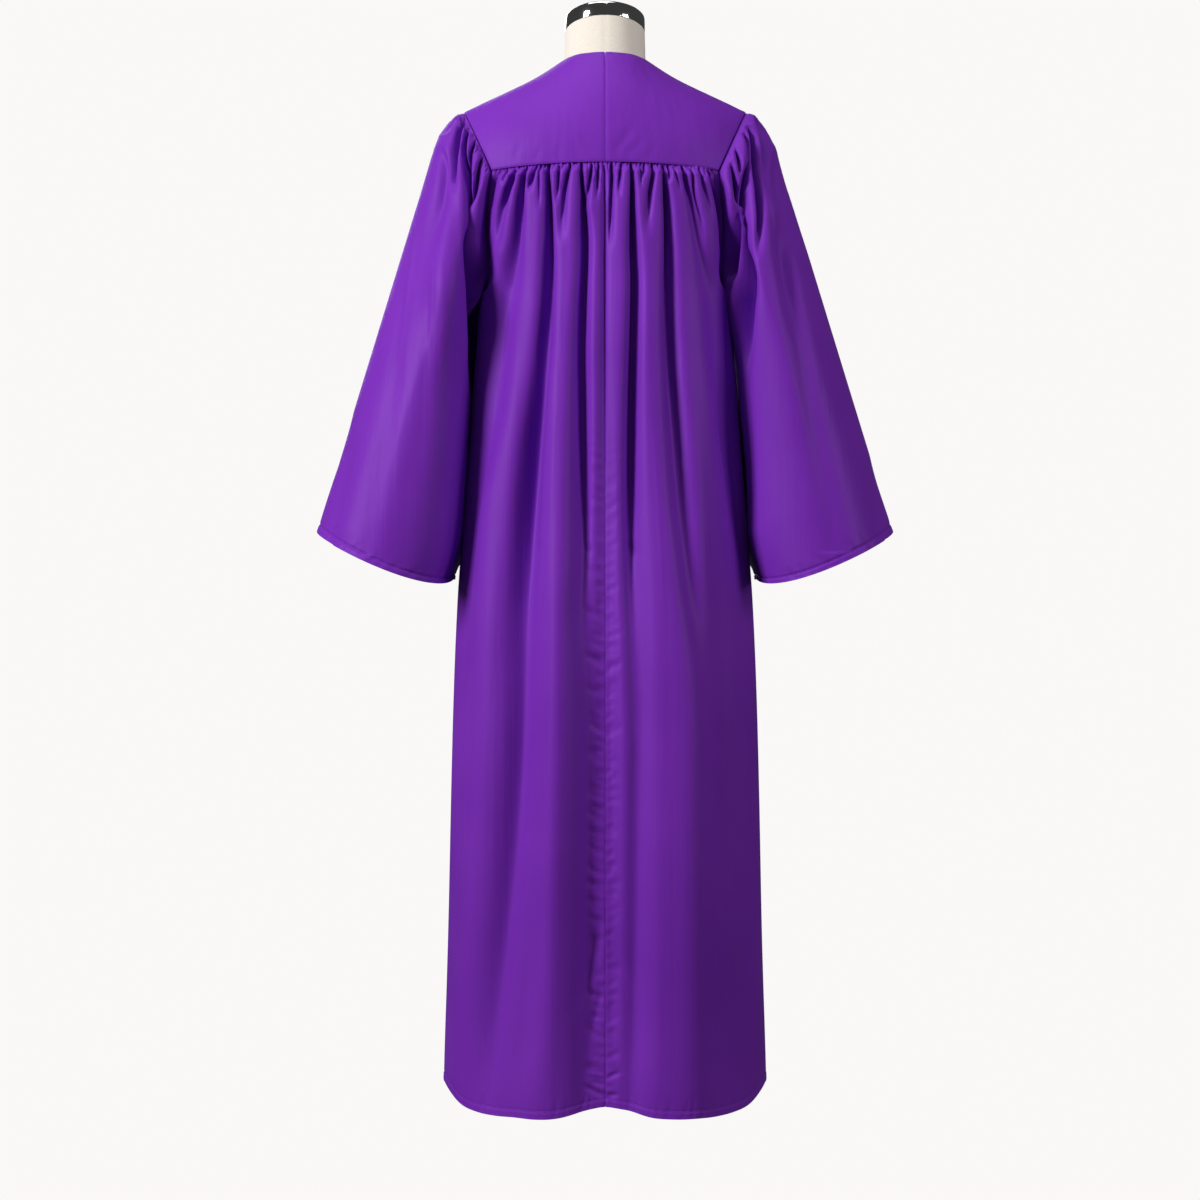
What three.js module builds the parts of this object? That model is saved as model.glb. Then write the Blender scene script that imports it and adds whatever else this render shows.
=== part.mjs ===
// A choir robe worn by a limbless dress form on a hidden stand, in millimetres, +Z up.
// The robe's back faces +Y and its front faces -Y, so the wearer's left is +X.
// The origin is the centre of the stand's foot, on the floor.
import * as THREE from "three";

// Cloth walls and the gaps between pieces
const WALL = 1.8;
const SEAM_GAP = 0.3;
const SLEEVE_GAP = 1.1;

// Heights of the robe
const HEM_Z = 12;
const UNDERARM_Z = 1035;
const YOKE_SEAM_Z = 1192;
const SEAM_DROP = 4;
const SEAM_DROP_FROM_Z = 1080;

// Yoke: its lower corner, the shoulder tip, the neckline and the depth of the V in front
const CORNER_X = 143.5;
const TIP_X = 183;
const TIP_Z = 1279;
const NECK_HALF_WIDTH = 57;
const NECK_BACK_DEPTH = 58;
const NECK_Z = 1342;
const V_DEPTH = 97;
const RIDGE = [
  { x: -30, z: 1361 },
  { x: 0, z: 1369 },
  { x: 30, z: 1361 },
  { x: 57, z: 1342 },
  { x: 90, z: 1321 },
  { x: 134, z: 1300 },
  { x: 183, z: 1279 },
];

// Rings of the body of the robe, from the yoke seam down to the hem
const BODY = [
  { z: 1192, halfWidth: 200, back: 105, front: 92 },
  { z: 1134, halfWidth: 181, back: 108, front: 99 },
  { z: 1089, halfWidth: 168, back: 110, front: 105 },
  { z: 1035, halfWidth: 158.6, back: 112, front: 112 },
  { z: 905, halfWidth: 166, back: 118, front: 118 },
  { z: 775, halfWidth: 176, back: 125, front: 125 },
  { z: 645, halfWidth: 185, back: 135, front: 135 },
  { z: 385, halfWidth: 197, back: 150, front: 150 },
  { z: 125, halfWidth: 206, back: 160, front: 160 },
  { z: 12, halfWidth: 209, back: 165, front: 165 },
];

// Armhole seam of the body: how far out it runs at each height
const ARMHOLE = [
  { z: 1192, x: 143.5 },
  { z: 1134, x: 151 },
  { z: 1089, x: 150 },
  { z: 1058, x: 148.5 },
  { z: 1045, x: 152 },
  { z: 1035, x: 158.6 },
];

// Small gathers under the yoke seam and at the sleeve heads
const BACK_GATHERS = 14;
const FRONT_GATHERS = 12;
const HEAD_GATHERS = 26;
const GATHER_DEPTH = 3.6;
const GATHER_DROP = 42;
const GATHER_SPREAD = { depth: 0.35, length: 0.4 };
const GATHER_PINCH = { share: 0.65, reach: 6 };
const GATHER_EDGE = 0.04;
const COLUMNS_PER_GATHER = 3;

// Long folds. Each row is one soft trough: where it runs and how deep it is at these heights.
// A negative depth is a ridge. x is measured from the centre of the panel towards its side seam.
const FOLD_HEIGHTS = [1190, 1020, 860, 640, 340, 12];
const BACK_LEFT_FOLDS = [
  { x: [0, 0, 0, 0, 0, 0], depth: [1, 5, 4, 0, 0, 0], width: 9 },
  { x: [0, 0, 0, 0, 0, 0], depth: [0, 0, 0, 1, 5, 32], width: 42 },
  { x: [27, 29, 31, 30, 34, 42], depth: [3, 8, 8, 7, 6, 0], width: 11 },
  { x: [70, 71, 85, 107, 128, 158], depth: [3, 8, 11, 13, 9, 3], width: 15 },
  { x: [100, 120, 143, 165, 172, 176], depth: [2, 6, 7, 5, 3, 0], width: 12 },
  { x: [64, 66, 62, 64, 76, 79], depth: [0, 0, -2, -3, -4, -9], width: 36 },
];
const BACK_RIGHT_FOLDS = [
  { x: [0, 0, 0, 0, 0, 0], depth: [1, 5, 4, 0, 0, 0], width: 9 },
  { x: [0, 0, 0, 0, 0, 0], depth: [0, 0, 0, 1, 5, 32], width: 42 },
  { x: [32, 35, 30, 31, 34, 36], depth: [3, 8, 8, 7, 6, 0], width: 11 },
  { x: [77, 78, 86, 104, 143, 172], depth: [3, 8, 10, 10, 4, 0], width: 15 },
  { x: [104, 121, 146, 166, 168, 172], depth: [2, 6, 7, 6, 5, 3], width: 12 },
  { x: [70, 72, 70, 76, 88, 98], depth: [0, 0, -2, -3, -6, -17], width: 40 },
];
const FRONT_LEFT_FOLDS = [
  { x: [44, 46, 46, 50, 56, 62], depth: [2, 6, 8, 8, 9, 14], width: 14 },
  { x: [78, 84, 92, 104, 118, 130], depth: [2, 7, 10, 11, 8, 4], width: 15 },
  { x: [108, 124, 144, 164, 172, 176], depth: [2, 5, 6, 5, 3, 0], width: 12 },
  { x: [60, 64, 70, 78, 90, 98], depth: [0, 0, -2, -3, -6, -12], width: 34 },
];
const FRONT_RIGHT_FOLDS = [
  { x: [40, 40, 44, 46, 50, 54], depth: [2, 7, 8, 9, 10, 16], width: 14 },
  { x: [72, 80, 88, 96, 110, 124], depth: [2, 6, 9, 10, 9, 3], width: 15 },
  { x: [106, 120, 140, 162, 170, 174], depth: [2, 6, 7, 4, 3, 0], width: 12 },
  { x: [58, 60, 68, 74, 84, 90], depth: [0, 0, -2, -3, -6, -13], width: 34 },
];
// Panels lie level beside the placket and, by share of their width, at the side seam
const FRONT_FLAT = { from: 22, to: 38 };
const SIDE_FLAT = { from: 0.84, to: 0.97 };
// The centre back hem rides up where its seam is drawn tight
const HEM_LIFT = { height: 10, halfWidth: 30, startZ: 150 };

// Sleeves: the cuff ring, the puff of the head and the troughs down the sleeve.
// around runs from 0 at the shoulder tip, over the back to 0.5 at the underarm, and back over the front.
const CUFF = {
  x: 283,
  z: 704.5,
  halfWidth: 90,
  halfDepth: 115,
  tilt: 31.5,
  sagBack: 18,
  sagFront: 6,
  skew: 0.3,
};
const SLEEVE_LENGTH = 580;
const HEAD_PUFF = { height: 22.5, sideways: 0.944, upward: 0.33, rise: 32 };
// The gathers of a sleeve head lie within this share of the armhole each way from the tip
const HEAD_SHARE = 0.2;
const SIDE_CLEARANCE = 3;
const SIDE_RISE = 20;
const TUCK = { forward: 42, clearance: 3.6, drop: 80, until: 0.82, focus: 4, steepest: 0.98 };
const FOLD_GROWTH = 0.25;
const LEFT_SLEEVE_FOLDS = [
  { around: 0.175, depth: 9, width: 0.026, start: 0.14 },
  { around: 0.25, depth: 8, width: 0.024, start: 0.05 },
  { around: 0.375, depth: 7, width: 0.034, start: 0.05 },
  { around: 0.675, depth: 7, width: 0.03, start: 0.08 },
  { around: 0.8, depth: 8, width: 0.026, start: 0.06 },
  { around: 0.9, depth: 5, width: 0.024, start: 0.15 },
];
const RIGHT_SLEEVE_FOLDS = [
  { around: 0.125, depth: 4, width: 0.024, start: 0.3 },
  { around: 0.2, depth: 10, width: 0.026, start: 0.12 },
  { around: 0.35, depth: 8, width: 0.034, start: 0.05 },
  { around: 0.65, depth: 7, width: 0.03, start: 0.08 },
  { around: 0.775, depth: 9, width: 0.026, start: 0.05 },
  { around: 0.875, depth: 5, width: 0.024, start: 0.2 },
];

// Placket over the front closing
const PLACKET_HALF_WIDTH = 17;
const PLACKET_WALL = 1.5;
const PLACKET_LIFT = 1.2;

// Dress form and stand
const FORM_INSET = 9;
const FORM_SHOULDER_X = 168;
const FORM_BOTTOM_Z = 700;
const FORM_SHOULDER_Z = 1250;
const FORM_SIDES = 28;
const BODY_RINGS = [FORM_BOTTOM_Z, 740, 800, 860, 920, 980, 1035, 1090, 1145, 1192];
const SHOULDER_RINGS = [1220, 1245, 1262, 1274, 1285, 1294, 1303, 1312];
const NECK_RINGS = [0, 0.5, 1];
const NECK_INSET = 4;
const NECK_TOP = { z: 1384.4, y: -11, radius: 52, tilt: 10 };
const NECK_FOOT_Z = 1330;
const CAP_HEIGHT = 21;
const CAP_DOME = 3;
const CAP_ROUND = 2;
const POLE_RADIUS = 12;
const FOOT_REACH = 122;
const FOOT_ARM_RADIUS = 15;
const BASE_HEIGHT = 12;
const FORM_WAIST = [
  { z: 700, halfWidth: 150, back: 104, front: 104 },
  { z: 800, halfWidth: 152, back: 106, front: 106 },
  { z: 900, halfWidth: 128, back: 94, front: 94 },
  { z: 960, halfWidth: 120, back: 90, front: 90 },
  { z: 1035, halfWidth: 136, back: 93, front: 94 },
  { z: 1110, halfWidth: 146, back: 94, front: 86 },
  { z: 1192, halfWidth: 156, back: 94, front: 80 },
];

// Rows of the wall of each panel, as heights, and of a sleeve, as shares of its length
const GATHER_ROWS = [1192, 1184, 1172, 1154];
const PANEL_ROWS = [1128, 1100, 1076, 1058, 1045, 1035, 985, 890, 770, 640, 500, 360, 220, 100, 12];
const HEAD_ROWS = [0, 0.014, 0.04, 0.085];
const SLEEVE_ROWS = [0.16, 0.28, 0.42, 0.58, 0.74, 0.88, 1];
const PANEL_COLUMNS = 22;
const EVEN_ANGLE = THREE.MathUtils.degToRad(66);
const SLEEVE_COLUMNS = 40;

const ROBE = { color: 0x70309f, roughness: 0.55, metalness: 0 };
const LINEN = { color: 0xd9cdb8, roughness: 0.9, metalness: 0 };
const CHROME = { color: 0xd8d8da, roughness: 0.12, metalness: 1 };
const IRON = { color: 0x2b2b2d, roughness: 0.6, metalness: 0.7 };

// Smooth curve through the points (xs[i], ys[i]), level beyond its ends
function through(xs, ys, x) {
  const up = xs[1] > xs[0];
  const last = xs.length - 1;
  if (up ? x <= xs[0] : x >= xs[0]) {
    return ys[0];
  }
  if (up ? x >= xs[last] : x <= xs[last]) {
    return ys[last];
  }
  let i = 0;
  while (up ? x > xs[i + 1] : x < xs[i + 1]) {
    i += 1;
  }
  const slope = (k) => {
    const before = Math.max(k - 1, 0);
    const after = Math.min(k + 1, last);
    return (ys[after] - ys[before]) / (xs[after] - xs[before]);
  };
  const span = xs[i + 1] - xs[i];
  const t = (x - xs[i]) / span;
  const rise = t * t * (3 - 2 * t);
  return (
    ys[i] * (1 - rise) +
    ys[i + 1] * rise +
    span * (slope(i) * t * (1 - t) * (1 - t) - slope(i + 1) * t * t * (1 - t))
  );
}

function fromTable(table, key, column, x) {
  return through(table.map((row) => row[key]), table.map((row) => row[column]), x);
}

function smoothStep(x, from, to) {
  return THREE.MathUtils.smoothstep(x, from, to);
}

function bell(x) {
  return Math.exp(-x * x);
}

// Body of the robe. side is "back" or "front".
// The angle runs from 0 at the centre to a right angle at the side seam.
function bodyRing(z, side) {
  return { a: fromTable(BODY, "z", "halfWidth", z), b: fromTable(BODY, "z", side, z) };
}

function edgeAngle(z, side) {
  if (z <= UNDERARM_Z) {
    return Math.PI / 2;
  }
  const reach = fromTable(ARMHOLE, "z", "x", z) / bodyRing(z, side).a;
  return Math.asin(Math.min(1, reach));
}

// Angle of a column: even above the underarm, and spreading only near the side seam below it
function columnAngle(share, z, side) {
  const edge = edgeAngle(z, side);
  const even = Math.min(edge, EVEN_ANGLE);
  return even * share + (edge - even) * share ** 4;
}

function seamDrop(x) {
  return SEAM_DROP * (x / CORNER_X) ** 2;
}

function bodyPoint(z, angle, side) {
  const ring = bodyRing(z, side);
  const x = ring.a * Math.sin(angle);
  const y = ring.b * Math.cos(angle);
  const away = side === "back" ? 1 : -1;
  const drop = seamDrop(x) * smoothStep(z, SEAM_DROP_FROM_Z, YOKE_SEAM_Z);
  const normal = new THREE.Vector3(Math.sin(angle) / ring.a, (away * Math.cos(angle)) / ring.b, 0);
  return { point: new THREE.Vector3(x, away * y, z - drop), normal: normal.normalize() };
}

// A gather is a rounded lobe between two narrow creases, deepest just below its seam
function gatherHeight(count, below) {
  const lobe = Math.abs(Math.sin(Math.PI * count));
  const index = Math.floor(count);
  const uneven = 1 + GATHER_SPREAD.depth * Math.sin(2.1 * index + 0.7);
  const length = GATHER_DROP * (1 + GATHER_SPREAD.length * Math.sin(1.7 * index + 2));
  const opening = 1 - GATHER_PINCH.share * Math.exp(-below / GATHER_PINCH.reach);
  return GATHER_DEPTH * uneven * lobe * opening * bell(below / length);
}

function foldHeight(folds, x, z) {
  let height = 0;
  for (const fold of folds) {
    const centre = through(FOLD_HEIGHTS, fold.x, z);
    const depth = through(FOLD_HEIGHTS, fold.depth, z);
    height -= depth * bell((x - centre) / fold.width);
  }
  return height;
}

// How far a panel stands off its ring: gathers and folds.
// It is level at the side seam and, in front, beside the closing.
function panelHeight(panel, z, share, x) {
  const sideCalm = 1 - smoothStep(share, SIDE_FLAT.from, SIDE_FLAT.to);
  const centreCalm = panel.side === "front" ? smoothStep(x, FRONT_FLAT.from, FRONT_FLAT.to) : 1;
  const folds = foldHeight(panel.folds, x, z) * sideCalm;
  const gathers = gatherHeight(share * panel.gathers, YOKE_SEAM_Z - z);
  const edgeCalm = smoothStep(1 - share, 0, GATHER_EDGE);
  return (folds + gathers * edgeCalm) * centreCalm;
}

function hemLift(panel, z, x) {
  if (panel.side !== "back") {
    return 0;
  }
  return HEM_LIFT.height * bell(x / HEM_LIFT.halfWidth) * (1 - smoothStep(z, HEM_Z, HEM_LIFT.startZ));
}

function shares(count) {
  return Array.from({ length: count + 1 }, (_, k) => k / count);
}

// One half of the back or front: rows of points on its outer and inner faces
function panelRows(panel) {
  const across = panel.gathers * COLUMNS_PER_GATHER;
  const levels = GATHER_ROWS.map((z) => ({ z, columns: across }));
  levels.push(...PANEL_ROWS.map((z) => ({ z, columns: PANEL_COLUMNS })));
  return levels.map(({ z, columns }, row) =>
    shares(columns).map((share) => {
      const { point, normal } = bodyPoint(z, columnAngle(share, z, panel.side), panel.side);
      const height = panelHeight(panel, z, share, point.x);
      const shift = new THREE.Vector3(SEAM_GAP / 2, Math.sign(point.y || normal.y) * (SEAM_GAP / 2), 0);
      shift.z = hemLift(panel, z, point.x) - (row === 0 ? SEAM_GAP / 2 : 0);
      if (panel.side === "front" && shift.y > 0) {
        shift.y = -shift.y;
      }
      point.add(shift);
      return wallPoint(share, point, normal, height, WALL);
    }),
  );
}

function wallPoint(share, point, normal, height, thickness) {
  return {
    share,
    outer: point.clone().addScaledVector(normal, height),
    inner: point.clone().addScaledVector(normal, height - thickness),
  };
}

// Yoke surface: x across, turn from a right angle at the back seam, over the shoulder at 0, to the front
function yokePoint(x, turn) {
  const foot = YOKE_SEAM_Z - seamDrop(x);
  const ridge = fromTable(RIDGE, "x", "z", x);
  const depth = turn >= 0 ? BODY[0].back : BODY[0].front;
  const width = Math.sqrt(1 - (x / BODY[0].halfWidth) ** 2);
  return new THREE.Vector3(x, depth * width * Math.sin(turn), foot + (ridge - foot) * Math.cos(turn));
}

function yokeNormal(x, turn) {
  const step = 0.01;
  const alongX = yokePoint(x + step, turn).sub(yokePoint(x - step, turn));
  const alongTurn = yokePoint(x, turn + step).sub(yokePoint(x, turn - step));
  const normal = alongX.cross(alongTurn).normalize();
  if (normal.z < 0 || normal.y * turn < 0) {
    normal.negate();
  }
  normal.x *= smoothStep(x, 0, YOKE_LEVEL_X);
  return normal.normalize();
}

function turnAtHeight(x, z) {
  const foot = YOKE_SEAM_Z - seamDrop(x);
  const ridge = fromTable(RIDGE, "x", "z", x);
  return Math.acos(THREE.MathUtils.clamp((z - foot) / (ridge - foot), -1, 1));
}

// Armhole edge of the yoke, share 0 at the shoulder tip and 1 at its lower corner
function yokeArmhole(share, away) {
  const x = TIP_X - (TIP_X - CORNER_X) * share;
  const cornerZ = YOKE_SEAM_Z - SEAM_DROP;
  const z = TIP_Z - (TIP_Z - cornerZ) * share;
  return { x, turn: away * turnAtHeight(x, z) };
}

// Outer edge of the yoke and its neckline, both from centre back to centre front. Each span says which
// part of the neckline, as shares of its back or front, lies above that part of the edge.
const YOKE_SPANS = [
  { columns: 9, edge: (t) => backSeam(t), neck: backNeck, from: 0, to: 0.7 },
  { columns: 5, edge: (t) => yokeArmhole(1 - t, 1), neck: backNeck, from: 0.7, to: 1 },
  { columns: 5, edge: (t) => yokeArmhole(t, -1), neck: frontNeck, from: 0, to: 0.4 },
  { columns: 7, edge: (t) => frontSeam(t), neck: frontNeck, from: 0.4, to: 1 },
];
const YOKE_ROWS = [0, 0.16, 0.34, 0.54, 0.76, 1];
const YOKE_LEVEL_X = 25;

function backSeam(share) {
  return { x: CORNER_X * share, turn: Math.PI / 2 };
}

function frontSeam(share) {
  return { x: CORNER_X * (1 - share), turn: -Math.PI / 2 };
}

function backNeck(share) {
  const angle = (share * Math.PI) / 2;
  const x = NECK_HALF_WIDTH * Math.sin(angle);
  const y = NECK_BACK_DEPTH * Math.cos(angle);
  const depth = BODY[0].back * Math.sqrt(1 - (x / BODY[0].halfWidth) ** 2);
  return { x, turn: Math.asin(y / depth) };
}

function frontNeck(share) {
  const x = NECK_HALF_WIDTH * (1 - share);
  return { x, turn: -turnAtHeight(x, NECK_Z - V_DEPTH * share) };
}

function yokeRows() {
  return YOKE_ROWS.map((down) => {
    const row = [];
    YOKE_SPANS.forEach((span, number) => {
      const first = number === 0 ? 0 : 1;
      for (let k = first; k <= span.columns; k += 1) {
        const edge = span.edge(k / span.columns);
        const neck = span.neck(THREE.MathUtils.lerp(span.from, span.to, k / span.columns));
        const x = THREE.MathUtils.lerp(neck.x, edge.x, down);
        const turn = THREE.MathUtils.lerp(neck.turn, edge.turn, down);
        const point = yokePoint(x, turn);
        point.x += SEAM_GAP / 2;
        point.z += SEAM_GAP / 2;
        row.push(wallPoint(row.length, point, yokeNormal(x, turn), 0, WALL));
      }
    });
    return row;
  });
}

// The armhole as a closed loop: tip, back corner, underarm, front corner, tip
function armholeLoop() {
  const half = (side, away) => {
    const points = shares(12).map((t) => {
      const edge = yokeArmhole(t, away);
      return yokePoint(edge.x, edge.turn);
    });
    const heights = [1180, 1160, 1134, 1110, 1089, 1070, 1058, 1050, 1045, 1041, 1038, 1036];
    points.push(...heights.map((z) => bodyPoint(z, edgeAngle(z, side), side).point));
    return points;
  };
  const underarm = bodyPoint(UNDERARM_Z, Math.PI / 2, "back").point.setY(0);
  const back = half("back", 1);
  const front = half("front", -1).reverse();
  front.pop();
  const loop = new THREE.CatmullRomCurve3([...back, underarm, ...front], true, "centripetal");
  loop.arcLengthDivisions = 800;
  return loop;
}

const ARMHOLE_LOOP = armholeLoop();

// Sleeve surface before its folds: from the armhole to the tilted cuff, puffed at its head.
// Its inner side is tucked against the body and a little forwards, until just above the cuff.
function sleeveBase(around, down) {
  const turned = ((around % 1) + 1) % 1;
  const top = ARMHOLE_LOOP.getPointAt(turned);
  top.x += SLEEVE_GAP;
  const angle = turned * 2 * Math.PI;
  const sag = angle <= Math.PI ? CUFF.sagBack : CUFF.sagFront;
  const cos = Math.cos(angle);
  const sin = Math.sin(angle);
  const cuff = new THREE.Vector3(
    CUFF.x + CUFF.halfWidth * cos,
    CUFF.halfDepth * sin,
    CUFF.z + CUFF.tilt * cos - sag * Math.abs(sin) * (1 - CUFF.skew * cos),
  );
  const point = top.lerp(cuff, down);
  const puff = HEAD_PUFF.height * (0.5 + 0.5 * cos) * (1 - down) * (1 - Math.exp(-HEAD_PUFF.rise * down));
  const away = SIDE_CLEARANCE * (0.5 - 0.5 * cos) * (1 - Math.exp(-SIDE_RISE * down));
  point.x += HEAD_PUFF.sideways * cos * puff + away;
  point.y += sin * puff;
  point.z += HEAD_PUFF.upward * cos * puff;
  const below = smoothStep(UNDERARM_Z - point.z, 0, TUCK.drop);
  const tuck = (0.5 - 0.5 * cos) ** TUCK.focus * below * (1 - smoothStep(down, TUCK.until, 1));
  point.y -= TUCK.forward * tuck;
  const ring = bodyRing(point.z, "front");
  const lean = THREE.MathUtils.clamp(point.y / ring.b, -TUCK.steepest, TUCK.steepest);
  const beside = ring.a * Math.sqrt(1 - lean * lean) + TUCK.clearance;
  point.x += tuck * (beside - point.x);
  return point;
}

function sleeveNormal(around, down) {
  const step = 0.012;
  const above = Math.max(down - step, 0);
  const below = Math.min(down + step, 1);
  const alongLoop = sleeveBase(around + step, down).sub(sleeveBase(around - step, down));
  const alongSleeve = sleeveBase(around, below).sub(sleeveBase(around, above));
  return alongSleeve.cross(alongLoop).normalize();
}

function sleeveHeight(folds, around, down) {
  let height = 0;
  for (const fold of folds) {
    const depth = fold.depth * smoothStep(down, fold.start, fold.start + FOLD_GROWTH);
    height -= depth * bell((around - fold.around) / fold.width);
  }
  const fromTip = around > 0.5 ? around - 1 : around;
  if (Math.abs(fromTip) < HEAD_SHARE) {
    const count = (fromTip / HEAD_SHARE + 1) * (HEAD_GATHERS / 2);
    height += gatherHeight(count, down * SLEEVE_LENGTH);
  }
  return height;
}

function sleeveRows(folds) {
  const head = shares(HEAD_GATHERS * COLUMNS_PER_GATHER).map((t) => (2 * t - 1) * HEAD_SHARE);
  const under = shares(14).map((t) => HEAD_SHARE + t * (1 - 2 * HEAD_SHARE));
  const fine = [...head, ...under.slice(1)];
  const coarse = shares(SLEEVE_COLUMNS).map((t) => t - HEAD_SHARE);
  const levels = HEAD_ROWS.map((down) => ({ down, columns: fine }));
  levels.push(...SLEEVE_ROWS.map((down) => ({ down, columns: coarse })));
  return levels.map(({ down, columns }) =>
    columns.map((around) => {
      const turned = ((around % 1) + 1) % 1;
      const height = sleeveHeight(folds, turned, down);
      return wallPoint(around, sleeveBase(turned, down), sleeveNormal(turned, down), height, WALL);
    }),
  );
}

// Placket: a strip that follows the front of the yoke and of the body, moved out from both.
// Its top follows the V of the neckline.
const PLACKET_ROWS = [1215, 1192, 1160, 1110, 1035, 905, 775, 645, 515, 385, 255, 125, 50, HEM_Z + 2];

function necklineHeight(across) {
  return NECK_Z - V_DEPTH * (1 - across / NECK_HALF_WIDTH);
}

function placketSpot(share, z) {
  const x = (2 * share - 1) * PLACKET_HALF_WIDTH;
  const across = Math.abs(x);
  const ring = bodyRing(z, "front");
  const bodyY = -ring.b * Math.sqrt(1 - (across / ring.a) ** 2);
  const onYoke = z > YOKE_SEAM_Z - SEAM_DROP;
  const y = onYoke ? yokePoint(across, -turnAtHeight(across, z)).y : bodyY;
  const normal = onYoke ? yokeNormal(across, -turnAtHeight(across, z)) : new THREE.Vector3(0, -1, 0);
  normal.x *= Math.sign(x);
  const point = new THREE.Vector3(x, y - SEAM_GAP / 2, z);
  return wallPoint(share, point, normal, PLACKET_LIFT + PLACKET_WALL, PLACKET_WALL);
}

function placketRows() {
  const upper = [0, 1 / 3, 2 / 3].map((down) =>
    shares(4).map((share) => {
      const across = Math.abs(2 * share - 1) * PLACKET_HALF_WIDTH;
      const top = necklineHeight(across) - 2 * SEAM_GAP;
      return placketSpot(share, THREE.MathUtils.lerp(top, PLACKET_ROWS[0], down));
    }),
  );
  return [...upper, ...PLACKET_ROWS.map((z) => shares(4).map((share) => placketSpot(share, z)))];
}

// Triangles between two rows that may differ in their number of columns
function joinRows(upper, lower, faces) {
  let i = 0;
  let j = 0;
  while (i < upper.length - 1 || j < lower.length - 1) {
    const lowerDone = j === lower.length - 1;
    const upperNext = i < upper.length - 1 && (lowerDone || upper[i + 1].share <= lower[j + 1].share + 1e-9);
    if (upperNext) {
      faces.push([upper[i].index, upper[i + 1].index, lower[j].index]);
      i += 1;
    } else {
      faces.push([upper[i].index, lower[j + 1].index, lower[j].index]);
      j += 1;
    }
  }
}

function signedVolume(vertices, faces) {
  let volume = 0;
  for (const [a, b, c] of faces) {
    volume += vertices[a].dot(vertices[b].clone().cross(vertices[c])) / 6;
  }
  return volume;
}

function meshOf(name, vertices, faces, look) {
  const outward = signedVolume(vertices, faces) > 0;
  const order = faces.map(([a, b, c]) => (outward ? [a, b, c] : [a, c, b]));
  const geometry = new THREE.BufferGeometry();
  const positions = vertices.flatMap((vertex) => [vertex.x, vertex.y, vertex.z]);
  geometry.setAttribute("position", new THREE.Float32BufferAttribute(positions, 3));
  geometry.setIndex(order.flat());
  geometry.computeVertexNormals();
  const mesh = new THREE.Mesh(geometry, new THREE.MeshStandardMaterial(look));
  mesh.name = name;
  return mesh;
}

// Closed wall of cloth through rows of points; a tube's first and last columns are one
function clothWall(name, rows, isTube, mirrored) {
  const vertices = [];
  const indexed = rows.map((row) => {
    const first = vertices.length / 2;
    return row.map((spot, k) => {
      const shared = isTube && k === row.length - 1;
      if (!shared) {
        vertices.push(spot.outer, spot.inner);
      }
      return { share: spot.share, index: 2 * (shared ? first : first + k) };
    });
  });
  const faces = [];
  for (let r = 0; r < indexed.length - 1; r += 1) {
    joinRows(indexed[r], indexed[r + 1], faces);
  }
  faces.push(...faces.map(([a, b, c]) => [a + 1, c + 1, b + 1]));
  const rim = (from, to) => {
    faces.push([to, from, from + 1], [to, from + 1, to + 1]);
  };
  const top = indexed[0];
  const bottom = indexed[indexed.length - 1];
  for (let k = 0; k < top.length - 1; k += 1) {
    rim(top[k].index, top[k + 1].index);
  }
  for (let k = 0; k < bottom.length - 1; k += 1) {
    rim(bottom[k + 1].index, bottom[k].index);
  }
  if (!isTube) {
    for (let r = 0; r < indexed.length - 1; r += 1) {
      rim(indexed[r + 1][0].index, indexed[r][0].index);
      rim(indexed[r][indexed[r].length - 1].index, indexed[r + 1][indexed[r + 1].length - 1].index);
    }
  }
  if (mirrored) {
    vertices.forEach((vertex) => vertex.setX(-vertex.x));
  }
  return meshOf(name, vertices, faces, ROBE);
}

// Dress form: ellipses up to the yoke seam, then rings just inside the yoke, then the neck
function formRing(z, sides) {
  const points = [];
  const inset = FORM_INSET;
  for (let k = 0; k < sides; k += 1) {
    const angle = (k / sides) * 2 * Math.PI;
    const side = Math.cos(angle) >= 0 ? "back" : "front";
    if (z <= YOKE_SEAM_Z) {
      const halfWidth = fromTable(FORM_WAIST, "z", "halfWidth", z);
      const depth = fromTable(FORM_WAIST, "z", side, z);
      points.push(new THREE.Vector3(halfWidth * Math.sin(angle), depth * Math.cos(angle), z));
      continue;
    }
    const reach = formReach(z);
    const x = reach * Math.sin(angle);
    const ridge = fromTable(RIDGE, "x", "z", Math.abs(x)) - inset;
    const across = Math.sqrt(1 - (x / BODY[0].halfWidth) ** 2);
    const full = (BODY[0][side] - inset) * across;
    const height = THREE.MathUtils.clamp((z - YOKE_SEAM_Z) / (ridge - YOKE_SEAM_Z), 0, 1);
    const flank = Math.sqrt(1 - height * height);
    const tuck = Math.sqrt(Math.max(0, 1 - Math.sin(angle) ** 2));
    const y = Math.min(full * flank, full * tuck);
    points.push(new THREE.Vector3(x, side === "back" ? y : -y, z));
  }
  return points;
}

// Half width of the form's shoulders at a height, found on the sloping ridge
function formReach(z) {
  let x = NECK_HALF_WIDTH - NECK_INSET;
  while (x < FORM_SHOULDER_X && fromTable(RIDGE, "x", "z", x + 1) - FORM_INSET > z) {
    x += 1;
  }
  const widen = smoothStep(z, YOKE_SEAM_Z, FORM_SHOULDER_Z);
  const bottom = FORM_WAIST[FORM_WAIST.length - 1].halfWidth;
  return Math.min(x, THREE.MathUtils.lerp(bottom, FORM_SHOULDER_X, widen));
}

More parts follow.
